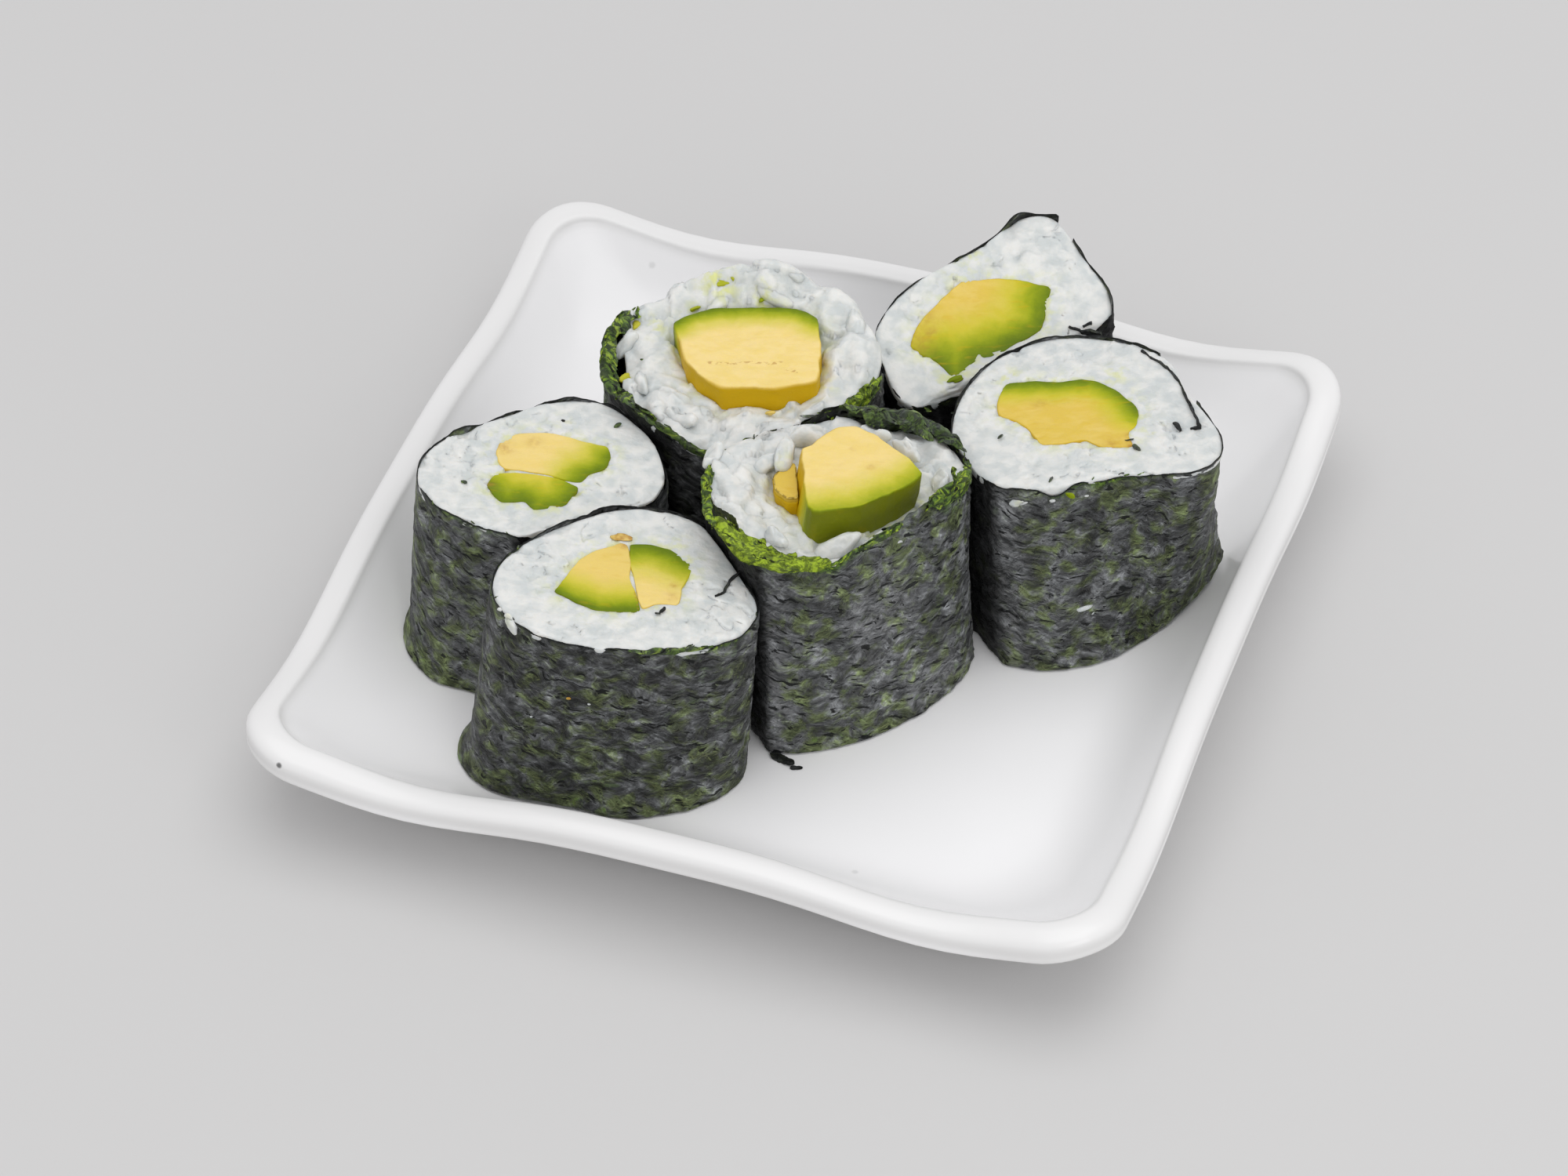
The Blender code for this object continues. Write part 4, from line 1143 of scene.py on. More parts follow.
def build_sheet(roll, look, finish):
    """One wrap of seaweed with both its faces, its crumpled edge and its lifted seam."""
    columns, rows = look.columns, look.rows
    run = np.linspace(0.0, roll.wrap, columns)
    angle = roll.seam - run
    level = sheet_rows(rows)
    spare = max(roll.wrap - 2.0 * math.pi, 0.0)
    lift = np.zeros(columns)
    if spare > 0.0:
        share = np.clip((run - (roll.wrap - spare - SEAM_LIFT)) / SEAM_LIFT, 0.0, 1.0)
        lift = (look.thickness + 0.06) * share * share * (3.0 - 2.0 * share)
    seed = SHEET_SEED + int(roll.name) * 17
    reach = roll.top_reach(angle)
    around = run_round(reach, angle)
    torn = roll.name in EDGES
    jag = rough(flat_points(around, 0.0), 2.6 if torn else 2.2, seed, 3) * (0.9 if torn else 0.36)
    edge = EDGES.get(roll.name, knife_cut)(angle) + jag
    for degrees, width, depth in rows_of(NICKS, roll.name):
        edge = edge - depth * bell(turned(angle, math.radians(degrees)) * reach, 0.0, width)
    rise = edge[:, None] * level ** 3
    points = roll.spot(angle[:, None], 1.0, (look.thickness * 0.5 - lift)[:, None], level[None, :], rise)
    tall = roll.head[2] - FLOOR_TOP
    height = level[None, :] * tall + rise
    sheet = flat_points(around[:, None], height, seed * 3.1)
    swirl = sheet + flat_points(lumps(sheet, 8.0, seed + 3), lumps(sheet, 8.0, seed + 4)) * 2.5
    push = 0.22 * lumps(sheet, 9.0, seed + 5) + 0.13 * lumps(sheet, 4.2, seed + 6)
    push += look.wrinkle * (abs(rough(swirl * np.array([1.0, 2.2, 1.0]), 3.4, seed + 7, 3)) - 0.25)
    # gap marks where the seaweed is painted darker as painted shade, where it nearly touches a neighbouring roll.
    press, gap = np.zeros_like(height), np.zeros_like(height)
    for toward, distance in flats(roll):
        press = np.maximum(press, bell(distance - points @ toward, 0.8, 2.6))
        gap = np.maximum(gap, 1.0 - eased(distance - points @ toward, 0.3, 1.5))
    press = np.maximum(press, 0.8 * eased(lumps(sheet, 12.0, seed + 21), 0.35, 0.8))
    push += look.crease * press * (abs(rough(sheet * np.array([1.5, 0.7, 1.0]), 2.2, seed + 9, 2)) - 0.3)
    below = edge[:, None] - rise + (1.0 - level[None, :]) * tall
    frayed, frayed_depth = (values[:, None] for values in fringe(roll, angle))
    if torn:
        crumple = rough(sheet * np.array([1.0, 1.6, 1.0]), 2.4, seed + 11, 3)
        push += 0.5 * crumple * (1.0 - eased(below, 0.5, 5.0)) * (0.6 + frayed)
    else:
        push *= 1.0 - 0.6 * eased(level, 0.93, 1.0)[None, :]
    for degrees, width, out, high in rows_of(FLARES, roll.name):
        near = bell(turned(angle, math.radians(degrees)), 0.0, math.radians(width))
        push += out * near[:, None] * (1.0 - eased(height, 0.0, high))
    normal = -grid_normal(points)
    half = 0.5 * look.thickness * (1.0 - 0.4 * eased(level, 0.97, 1.0))[None, :, None]
    shell, faces = thin_skin(points + normal * push[..., None], normal * half)
    marks = {
        # crease marks the creases, and also where painted sheen goes.
        "crease": press,
        "torn": frayed * np.clip(1.3 - below / frayed_depth, 0.0, 1.0),
        "foot": eased(height, 7.0, 1.0),
        "rim": bell(below, 0.0, 0.22) * (0.0 if torn else 1.0),
        "pale": np.full_like(height, roll.pale),
        "gap": gap,
    }
    add_piece("nori_sheet_" + roll.name, shell, faces, finish, ["nori_" + roll.name],
              {label: np.tile(values.ravel(), 2) for label, values in marks.items()},
              {"sheet": np.tile(sheet.reshape(-1, 3), (2, 1))})


def thin_skin(middle, half):
    """A closed skin on both sides of a grid of points: points and faces."""
    columns, rows = middle.shape[:2]
    points = np.concatenate([(middle + half).reshape(-1, 3), (middle - half).reshape(-1, 3)])
    grid = rows * columns
    faces = [grid_faces(columns, rows), grid_faces(columns, rows, grid, flip=True)]
    top, foot = np.arange(columns) * rows + rows - 1, np.arange(columns) * rows
    first, last = np.arange(rows), np.arange(rows) + (columns - 1) * rows
    for edge, way in ((top, 1), (foot, -1), (first, 1), (last, -1)):
        strip = np.stack([edge[:-1], edge[1:], edge[1:] + grid, edge[:-1] + grid], axis=1)
        faces.append(strip[:, ::way])
    return points, np.concatenate(faces)


def scrap_points(length, width, seed, ruffle, rows=15, columns=27):
    """A torn scrap in its own flat frame, leaf-shaped, ruffled and closed: points, faces, nearness to its edge."""
    u, v = np.meshgrid(np.linspace(-1.0, 1.0, columns), np.linspace(-1.0, 1.0, rows), indexing="ij")
    line = flat_points(u[:, 0] * length, 0.0) + seed * 9.1
    narrow = np.maximum(1.0 - abs(u) ** 3, 0.04) ** 0.6
    ragged = np.where(v > 0, rough(line, 1.6, seed)[:, None], rough(line + 50.0, 1.6, seed)[:, None])
    x = u * length * 0.5
    y = v * width * 0.5 * narrow * (1.0 + 0.45 * ragged)
    spot = flat_points(x, y) + seed * 7.7
    z = ruffle * (abs(rough(spot, 2.4, seed + 1)) * 2.0 - 0.5) + 0.12 * rough(spot, 0.8, seed + 2)
    points, faces = thin_skin(flat_points(x, y, z), np.array([0.0, 0.0, SCRAP_HALF]))
    return points, faces, np.tile(abs(np.stack([u, v], axis=-1)).max(axis=-1).ravel(), 2)


def fold_points(roll, first, last, inward, down, lift, seed):
    """A torn edge folded in over the rice, crumpled and ragged; gives points, faces and flat places."""
    start, spread = math.radians(first), math.radians(last - first)
    columns = int(abs(spread) * float(roll.top_reach(np.array([start]))[0]) / FOLD_STEP)
    u = np.linspace(0.0, 1.0, columns)
    angle = start + spread * u
    reach = roll.top_reach(angle)
    around = run_round(reach, angle)
    taper = np.sqrt(np.sin(math.pi * np.clip(u, 0.004, 0.996)))
    line = flat_points(around, 0.0) + seed * 5.3
    inside_run = inward * taper * (1.0 + 0.55 * rough(line, 1.7, seed, 3))
    outside_run = down * taper * (1.0 + 0.5 * rough(line + 70.0, 1.9, seed + 1, 3))
    run = (np.linspace(0.0, 1.0, FOLD_ROWS)[None, :] * (inside_run + outside_run)[:, None]) - outside_run[:, None]
    within = np.maximum(run, 0.0)
    flat = flat_points(around[:, None] + 0.0 * run, run) + seed * 3.1
    crumple = abs(rough(flat * np.array([1.0, 1.4, 1.0]), 2.6, seed + 2, 3)) * 1.7
    fold = crumple + 0.6 * rough(flat, 0.8, seed + 3, 2) - 0.35
    out = reach[:, None] + 0.22 - 0.92 * within + 0.35 * fold * (run < 0.3)
    edge = EDGES.get(roll.name, knife_cut)(angle)[:, None]
    arch = lift * np.sin(np.clip(within / 3.0, 0.0, 1.0) * math.pi)
    rise = edge + 0.15 + np.minimum(run, 0.0) - 0.22 * within + arch + 0.55 * fold * (run > -0.3)
    middle = roll.on_cut(out * np.cos(angle[:, None]), out * np.sin(angle[:, None]), rise)
    points, faces = thin_skin(middle, grid_normal(middle) * SCRAP_HALF)
    return points, faces, np.tile(flat.reshape(-1, 3), (2, 1))


def rolled_in(roll, line, seed):
    """A strip of seaweed that stands in the rice and shows as a dark ragged line; gives what a fold gives."""
    corners = np.array(line)
    run = run_along(np.linalg.norm(np.diff(corners, axis=0), axis=1))
    at = np.linspace(0.0, run[-1], max(int(run[-1] / ROLLED_STEP), 8))
    flat = np.stack([np.interp(at, run, corners[:, axis]) + 0.28 * rough(
        flat_points(at + 9.0 * axis, 0.0) + seed, 1.8, seed, 2) for axis in range(2)], axis=1)
    down = np.linspace(0.0, 1.0, ROLLED_ROWS)
    top = 0.18 + 0.5 * rough(flat_points(at, 3.0) + seed, 1.3, seed + 1, 3)
    rise = top[:, None] - down[None, :] * (2.0 + top[:, None])
    middle = roll.on_cut(flat[:, :1] + 0.0 * rise, flat[:, 1:] + 0.0 * rise, rise)
    half = ROLLED_HALF * (1.0 + 0.7 * rough(flat_points(at, 7.0) + seed, 1.1, seed + 2, 2))
    points, faces = thin_skin(middle, grid_normal(middle) * half[:, None, None])
    return points, faces, np.tile(flat_points(at[:, None] + 0.0 * rise, rise).reshape(-1, 3), (2, 1))


def strands(chance):
    """Torn strands strewn along the fringes, in the same terms as the flaps."""
    for name, middle, width, depth, strong in FRINGES:
        roll = ROLLS[name]
        for _ in range(int(3.0 + 12.0 * strong * strong * width / 26.0)):
            degrees = middle + chance.uniform(-1.1, 1.1) * width
            angle = np.array([math.radians(degrees)])
            out = float(roll.top_reach(angle)[0] - chance.uniform(0.0, 0.7))
            edge = float(EDGES.get(name, knife_cut)(angle)[0])
            rise = edge - chance.uniform(-0.1, 0.45) * min(depth, 4.0) * (1.0 if name in EDGES else 0.3)
            size = 1.0 if name in EDGES else 0.5
            yield (name, out * math.cos(angle[0]), out * math.sin(angle[0]), rise, chance.uniform(1.0, 2.6) * size,
                   chance.uniform(0.25, 0.5) * size, degrees + 90.0 + chance.normal() * 28.0,
                   chance.uniform(20.0, 100.0), strong * chance.uniform(0.5, 1.0))


def build_flaps(finish):
    """Torn flaps and strands at the edges of the wraps and flakes on the dish, in one piece."""
    batch = Batch()
    every = [*FLAPS, *strands(np.random.default_rng(STRAND_CHANCE))]
    for index, (name, across, along, rise, length, width, turn, tip, strong) in enumerate(every):
        strand = index >= len(FLAPS)
        steps = STRAND_STEPS if strand else LONG_FLAP_STEPS if length > LONG_FLAP else FLAP_STEPS
        local, faces, edge = scrap_points(length, width, FLAP_SEED + index, 0.2 if strand else 0.45, *steps)
        lean, out = math.radians(tip), math.atan2(along, across)
        way = heading(turn)
        side = np.array([-way[1], way[0], 0.0])
        side = side * math.copysign(1.0, side[0] * math.cos(out) + side[1] * math.sin(out))
        side = side * math.cos(lean) + np.array([0.0, 0.0, math.sin(lean)])
        spot = (np.array([across, along, rise]) + local[:, :1] * way + local[:, 1:2] * side
                + local[:, 2:] * np.cross(way, side))
        batch.add(ROLLS[name].on_cut(*spot.T), faces, local + index * 21.0, torn=strong * (0.55 + 0.45 * edge))
    for index, (name, *bounds, strong) in enumerate(FOLDS):
        batch.add(*fold_points(ROLLS[name], *bounds, FOLD_SEED + index * 7), torn=strong)
    for index, (name, line) in enumerate(ROLLED_IN):
        batch.add(*rolled_in(ROLLS[name], line, ROLLED_SEED + index * 5), torn=0.0)
    for index, (x, y, length, width, turn) in enumerate(FLAKES):
        local, faces, edge = scrap_points(length, width, FLAKE_SEED + index, 0.3)
        cos, sin, _ = heading(turn)
        spot = flat_points(x + local[:, 0] * cos - local[:, 1] * sin, y + local[:, 0] * sin + local[:, 1] * cos)
        spot[:, 2] = dish_height(spot[:, 0], spot[:, 1]) + local[:, 2] - local[:, 2].min() + 0.03
        batch.add(spot, faces, local + 900.0 + index * 21.0, torn=0.0)
    torn = np.concatenate(batch.marks["torn"])
    batch.build("nori_flaps", finish, "nori", rim=np.where(torn > 0.0, 0.0, 0.75), foot=0.0, crease=0.2, pale=1.0,
                gap=0.0)


def build_grains(look, finish):
    """Loose grains that stand out of the rice, in one piece."""
    chance = np.random.default_rng(GRAIN_CHANCE)
    batch = Batch()
    for index, (name, across, along, rise, length, width, turn, tip) in enumerate(GRAINS):
        spin, lean = math.radians(turn), math.radians(tip)
        facing = np.array([[math.cos(spin) * math.cos(lean), math.sin(spin) * math.cos(lean), math.sin(lean)]])
        middle, size = np.array([[across, along, rise]]), np.array([length / look.length])
        made, faces, _, _ = draw_grains(middle, facing, size, look, chance)
        spot = warped(made[0] + 40.0 * index, 30) - 40.0 * index
        spot[:, 2] += 0.7 * chunks(spot * 1.4 + 40.0 * index, 2.6, 31)
        batch.add(ROLLS[name].on_cut(*spot.T), faces, stain=fruit_stain(ROLLS[name], spot) * 0.5)
    for index, (name, *where, green) in enumerate(STUCK_GRAINS):
        batch.add(stuck(ROLLS[name], *where, index), faces, stain=green)
    batch.build("rice_loose", finish, "rice", tone=0.2, heap=1.0)


def stuck(roll, degrees, height, length, width, turn, seed):
    """A small flat lump that sticks to the outside of a wrap."""
    ball, _ = grain_shape()
    angle = math.radians(degrees)
    level = height / (roll.head[2] - FLOOR_TOP)
    here, beside = (roll.spot(np.array([angle + step]), 1.0, np.array([-0.12]), level)[0] for step in (0.0, 0.05))
    way = unit(beside - here)
    face = unit(np.cross(way, roll.axis))
    up = np.cross(face, way)
    cos, sin, _ = heading(turn)
    first, second = way * cos + up * sin, up * cos - way * sin
    local = ball * (1.0 + 0.35 * rough(ball * 1.3 + seed * 7.0, 1.0, STUCK_SEED + seed)[:, None])
    return (here + local[:, :1] * first * length * 0.5 + local[:, 1:2] * second * width * 0.5
            + local[:, 2:] * face * width * 0.3)


def build_smears(finish):
    """Mashed bits of fruit left on the rice and the seaweed, in one piece."""
    ball, faces = grain_shape()
    batch = Batch()
    for index, (name, across, along, rise, length, width, height, turn, depth) in enumerate(SMEARS):
        way = heading(turn)
        side, up = np.array([-way[1], way[0], 0.0]), np.array([0.0, 0.0, height * 0.5])
        local = ball * (1.0 + 0.5 * rough(ball * 1.3 + index * 11.0, 1.0, SMEAR_SEED + index)[:, None])
        spot = (np.array([across, along, rise]) + local[:, :1] * way * length * 0.5
                + local[:, 1:2] * side * width * 0.5 + local[:, 2:] * up)
        batch.add(ROLLS[name].on_cut(*spot.T), faces, skin=depth, bruise=max(depth - 4.6, 0.0) * 0.5)
    for index, (name, *where, brown) in enumerate(STUCK_FRUIT):
        batch.add(stuck(ROLLS[name], *where, index + 20), faces, skin=MASHED_SKIN, bruise=brown)
    brown = np.concatenate(batch.marks["bruise"])
    batch.build("avocado_smears", finish, "avocado", side=0.3 * (brown > 0.0), deep=0.0, scar=NO_SCAR)


def grain_shape():
    """Points and faces of a ball, from which every grain is drawn out."""
    ball = bmesh.new()
    bmesh.ops.create_icosphere(ball, subdivisions=3, radius=1.0)
    points = np.array([vert.co[:] for vert in ball.verts])
    faces = np.array([[vert.index for vert in face.verts] for face in ball.faces])
    ball.free()
    return points, faces


def rice_top(roll, local):
    """Height of the rice over a flat point of the cut."""
    angle = np.arctan2(local[..., 1], local[..., 0])
    share = np.clip(np.hypot(local[..., 0], local[..., 1]) / np.maximum(roll.top_reach(angle) - SHEET, 1.0), 0.0, 1.0)
    return HEAPS.get(roll.name, flat_top)(angle, share)


def packed_grains(roll, look, chance):
    """Middles and directions of grains that jostle until they lie side by side, in the frame of the cut."""
    heaped = roll.name in HEAPS
    radius, arm = look.width * 0.5 * 0.94, (look.length - look.width) * 0.5
    limit = float(roll.top_reach(np.linspace(0, 2 * np.pi, 90)).max())
    outlines = [softened(fruit.corners) for fruit in fruit_of(roll)]
    depth = look.depth
    tries = chance.uniform((-limit, -limit, 0.0), (limit, limit, 1.0), (TRIES, 3))
    angle = np.arctan2(tries[:, 1], tries[:, 0])
    clear = np.hypot(tries[:, 0], tries[:, 1]) < roll.top_reach(angle) - hollow(roll, angle) - look.wall - radius * 0.8
    for outline in outlines:
        clear &= ~inside(tries[:, :2], outline)
    area = clear.mean() * (2.0 * limit) ** 2
    over = 0.0 if heaped else 1.2
    count = int(area * (depth + over) * look.fill / (4.0 / 3.0 * math.pi * radius * radius * (arm + radius)))
    middles = tries[clear][:count].copy()
    middles[:, 2] = rice_top(roll, middles) - radius - depth * middles[:, 2] + over
    facing = unit(chance.normal(size=(len(middles), 3)) * (1.0, 1.0, 0.4 if heaped else 0.6))
    tangent = unit(np.cross(middles * (1.0, 1.0, 0.0), (0.0, 0.0, 1.0)))
    facing = unit(facing + tangent * np.sign((facing * tangent).sum(-1))[:, None] * (1.1 if heaped else 0.3))
    arms = np.array([-arm, 0.0, arm])
    owner = np.repeat(np.arange(len(middles)), 3)
    other = owner[:, None] != owner[None, :]
    planes = [(np.array([roll.along_x @ toward, roll.along_y @ toward]), distance - roll.head @ toward)
              for toward, distance in flats(roll)]
    for _ in range(look.jostles):
        balls = (middles[:, None, :] + facing[:, None, :] * arms[None, :, None]).reshape(-1, 3)
        gap = balls[:, None, :] - balls[None, :, :]
        far = np.linalg.norm(gap, axis=-1) + 1e-6
        overlap = np.where(other, np.maximum(2.0 * radius * look.squash - far, 0.0), 0.0)
        push = (gap / far[..., None] * overlap[..., None]).sum(axis=1) * 0.3
        angle = np.arctan2(balls[:, 1], balls[:, 0])
        out = np.hypot(balls[:, 0], balls[:, 1])
        beyond = np.maximum(out + radius * 0.85 - (roll.top_reach(angle) - hollow(roll, angle) - look.wall), 0.0)
        push[:, :2] -= balls[:, :2] / np.maximum(out, 1e-6)[:, None] * beyond[:, None] * 0.7
        for toward, distance in planes:
            beyond = np.maximum(balls[:, :2] @ toward + radius * 0.85 + SHEET - distance, 0.0)
            push[:, :2] -= toward * beyond[:, None] * 0.7
        for outline in outlines:
            reach, nearest = line_distance(balls[:, :2], outline)
            within = inside(balls[:, :2], outline)
            away = unit(balls[:, :2] - nearest) * np.where(within, -1.0, 1.0)[:, None]
            short = np.where(within, reach + radius * 0.8, np.maximum(radius * 0.8 - reach, 0.0))
            push[:, :2] += away * np.minimum(short, 1.5)[:, None] * 0.6
        top = rice_top(roll, balls) - radius * 0.9 + over
        push[:, 2] -= np.maximum(balls[:, 2] - top, 0.0) * 0.6
        push[:, 2] += np.maximum(top - depth - over - balls[:, 2], 0.0) * 0.6
        push = push.reshape(-1, 3, 3)
        middles += push.mean(axis=1)
        facing = unit(facing + (push * arms[None, :, None]).sum(axis=1) / (2.0 * arm * arm) * 0.8)
    return middles, facing


def crest_grains(roll, look, chance):
    """Loose grains along the top of a heap, just inside the wrap."""
    outlines = [softened(fruit.corners) for fruit in fruit_of(roll)]
    middles, facing = [], []
    for degrees in range(0, 360, look.crest_step):
        for row in (0.68, 0.86):
            angle = math.radians(degrees + chance.uniform(-4.0, 4.0))
            out = (roll.top_reach(angle) - hollow(roll, angle)) * (row + chance.uniform(-0.05, 0.05))
            spot = np.array([out * math.cos(angle), out * math.sin(angle), 0.0])
            turn = math.radians(chance.uniform(-50.0, 50.0))
            lean = chance.normal() * 0.3
            if any(inside(spot[None, :2], outline)[0] or line_distance(spot[None, :2], outline)[0][0] < 0.6
                   for outline in outlines):
                continue
            spot[2] = rice_top(roll, spot) - look.width * 0.42
            middles.append(spot)
            facing.append((-math.sin(angle + turn), math.cos(angle + turn), lean))
    return np.array(middles), unit(np.array(facing))


def draw_grains(middles, facing, size, look, chance):
    """Grain meshes at the middles, in the same frame; gives points by grain."""
    ball, faces = grain_shape()
    count = len(middles)
    long_half = look.length * 0.5 * size * chance.uniform(0.9, 1.1, count)
    wide_half = look.width * 0.5 * size ** 0.5 * chance.uniform(0.9, 1.1, count)
    thick_half = wide_half * chance.uniform(0.78, 0.95, count)
    helper = chance.normal(size=(count, 3))
    side = unit(np.cross(facing, helper))
    up = np.cross(facing, side)
    x, y, z = ball[None, :, 0], ball[None, :, 1], ball[None, :, 2]
    blunt = np.sign(x) * abs(x) ** 0.86
    taper = 1.0 + chance.uniform(-0.16, 0.16, count)[:, None] * x
    bend = chance.uniform(-0.3, 0.3, count)[:, None] * (x * x - 0.4)
    along = blunt * long_half[:, None]
    across = y * wide_half[:, None] * taper + bend
    high = z * thick_half[:, None] * taper
    points = (middles[:, None, :] + facing[:, None, :] * along[..., None] + side[:, None, :] * across[..., None]
              + up[:, None, :] * high[..., None])
    spread = points + np.arange(count)[:, None, None] * 13.7
    points += unit(points - middles[:, None, :]) * lumps(spread, 2.4, 5)[..., None] * 0.14
    return points, faces, np.stack([facing, side, up], axis=1), np.stack([long_half, wide_half, thick_half], axis=1)


def grain_tops(flat, middles, axes, radii):
    """Height of every grain's upper side over every flat point; it falls away steeply beyond the grain."""
    rows = axes / radii[:, :, None]
    start = np.einsum("gij,ngj->ngi", rows, flat_points(flat[:, None, 0], flat[:, None, 1]) - middles[None])
    rise = rows[:, :, 2]
    square = (rise * rise).sum(-1)
    half = (start * rise).sum(-1)
    left = half * half - square * ((start * start).sum(-1) - 1.0)
    return (-half + np.sqrt(np.maximum(left, 0.0)) - 2.2 * np.sqrt(np.maximum(-left, 0.0))) / square


def knife_face(flat, seed):
    """Height of the knife's cut over flat points, next to the plane of the cut."""
    return -0.06 + 0.14 * lumps(flat_points(flat[..., 0], flat[..., 1]), 7.0, seed)


def build_rice(roll, look, finish):
    """Grains laid close at the top of the roll over a smaller body of rice."""
    chance = np.random.default_rng(RICE_CHANCE + int(roll.name))
    seed = RICE_SEED + int(roll.name)
    heaped = roll.name in HEAPS
    middles, facing = packed_grains(roll, look, chance)
    if heaped:
        crest, crest_facing = crest_grains(roll, look, chance)
        middles, facing = np.concatenate([middles, crest]), np.concatenate([facing, crest_facing])
    else:
        keep = middles[:, 2] < CUT_LIMIT
        middles, facing = middles[keep], facing[keep]
    count = len(middles)
    size = chance.uniform(0.85, 1.15, count) * (1.25 if heaped else 1.0)
    points, faces, axes, radii = draw_grains(middles, facing, size, look, chance)
    shade = chance.uniform(0.0, 1.0, count)
    level = np.zeros(count) if heaped else chance.uniform(-look.step, look.step, count)
    points = warped(points, seed + 20)
    if heaped:
        points[..., 2] += crags(points, look, seed + 40) - HEAP_SINK
    else:
        points[..., 2] = np.minimum(points[..., 2], knife_face(points, seed) + level[:, None] - look.sunk)
    flat = points.reshape(-1, 3)
    number = np.arange(count)[:, None, None] * points.shape[1]
    inset = look.wall + hollow(roll, np.arctan2(flat[:, 1], flat[:, 0])) + (HEAP_INSET if heaped else 0.0)
    add_piece("rice_grains_" + roll.name, roll.from_cut(rim_drop(roll, flat), inset),
              (faces[None] + number).reshape(-1, 3), finish, (),
              {"tone": np.repeat(shade, points.shape[1]), "stain": fruit_stain(roll, flat),
               "heap": np.full(len(flat), float(heaped))})

    def grains_over(spot):
        """Height of each grain over flat points."""
        tops = grain_tops((2.0 * spot - warped(spot, seed + 20))[:, :2], middles, axes, radii)
        return tops if heaped else np.minimum(tops, knife_face(spot, seed)[:, None] + level[None, :])

    build_rice_body(roll, look, finish, seed, grains_over, shade)


def build_rice_body(roll, look, finish, seed, grains_over, shade):
    """A skin that lies just under the grains and fills the hollows between them, over a plain body."""
    heaped = roll.name in HEAPS
    angle = np.linspace(0.0, 2.0 * np.pi, look.around, endpoint=False)
    wall = look.wall + hollow(roll, angle)
    rings = [roll.spot(angle, share, wall + look.clear, low) for share, low in SIDE_RINGS]
    tones = [np.full(look.around, SIDE_TONE) for _ in SIDE_RINGS]
    shares = np.concatenate([RIM_SHARES, np.linspace(0.95, 0.04, look.rings)])
    plump = (0.0 if heaped else look.bulge) * (1.0 - to_the_back(angle)) * (
        0.5 + 0.5 * lumps(along_rim(angle), 2.3, seed + 70))
    soft = look.soft * (2.2 if heaped else 1.0)
    for row, share in enumerate(shares):
        inset = wall - plump * eased(share, 0.90, 0.97)
        out = (roll.top_reach(angle) - inset) * share
        spot = flat_points(out * np.cos(angle), out * np.sin(angle))
        tops = grains_over(spot)
        high = tops.max(axis=1)
        weight = np.exp(np.maximum((tops - high[:, None]) / soft, -60.0))
        fused = high + soft * np.log(weight.sum(axis=1)) * 0.5 - (look.mortar if heaped else look.skin)
        base = HEAPS.get(roll.name, flat_top)(angle, share)
        if heaped:
            smooth = base - 0.3
            spot[:, 2] = np.maximum(smooth + (fused - smooth) * look.relief, base - look.fillet)
            spot[:, 2] += crags(spot, look, seed + 40)
            spot[:, 2] += 0.03 * lumps(spot, 0.9, seed + 3)
        else:
            pit = eased(lumps(spot, 2.7, seed + 8), 0.5, 0.9)
            spot[:, 2] = np.maximum(fused, base - look.groove * (0.5 + 4.0 * pit))
            spot[:, 2] = np.minimum(spot[:, 2], knife_face(spot, seed) + look.step)
            spot[:, 2] += 0.03 * lumps(spot, 0.9, seed + 3)
            spot[:, 2] += look.chunk * chunks(warped(spot, seed + 50), 3.2, seed + 51)
        if row < len(RIM_DROPS):
            spot[:, 2] -= RIM_DROPS[row]
        rings.append(roll.from_cut(rim_drop(roll, spot), inset))
        tones.append((weight * shade[None, :]).sum(axis=1) / weight.sum(axis=1))
    points, faces = closed_skin(np.array(rings))
    out = (roll.top_reach(angle) - wall)[:, None] * np.stack([np.cos(angle), np.sin(angle)], axis=1)
    places = np.concatenate([*(out * share for share in (*np.ones(len(SIDE_RINGS)), *shares)), np.zeros((2, 2))])
    tones = np.concatenate([*tones, [SIDE_TONE, SIDE_TONE]])
    add_piece("rice_body_" + roll.name, points, faces, finish, ["rice_" + roll.name],
              {"tone": tones, "stain": fruit_stain(roll, places), "heap": np.full(len(tones), float(heaped))})


def crags(local, look, seed):
    """Relief of loose rice: broken chunks with rounder lumps under them."""
    return look.crag * (chunks(warped(local, seed), 4.4, seed + 1) + 0.9 * lumps(local, 5.5, seed + 6))


def warped(local, seed):
    """Leads points astray a little, so that no grain keeps a perfect outline."""
    coarse = [lumps(local + 31.0 * axis, 3.2, seed + axis) * 0.45 for axis in range(2)]
    fine = [lumps(local - 17.0 * axis, 1.3, seed + 5 + axis) * 0.2 for axis in range(2)]
    moved = local.copy()
    for axis in range(2):
        moved[..., axis] += coarse[axis] + fine[axis]
    return moved


def along_rim(angle):
    """Places round a ring as wide as a roll, for lumps that follow its rim."""
    return flat_points(RIM_ROUND * np.cos(angle), RIM_ROUND * np.sin(angle))


def rim_drop(roll, local):
    """Rounds the rice off where it meets its wrap, more over one grain than the next."""
    moved = local.copy()
    angle = np.arctan2(local[..., 1], local[..., 0])
    left = roll.top_reach(angle) - np.hypot(local[..., 0], local[..., 1])
    scallop = 0.22 * lumps(along_rim(angle), 2.1, 90)
    moved[..., 2] -= (0.26 + scallop) * np.clip(1.0 - left / 0.9, 0.0, 1.0) ** 2
    return moved


def fruit_stain(roll, flat):
    """How much the fruit has coloured the rice: 1 against it and 0 a few millimetres away."""
    stain = spots_at(flat, rows_of(STAINS, roll.name))
    for fruit in fruit_of(roll):
        reach, _ = line_distance(flat[:, :2], softened(fruit.corners, 1))
        stain = np.maximum(stain, np.exp(-reach / 1.1))
    return stain


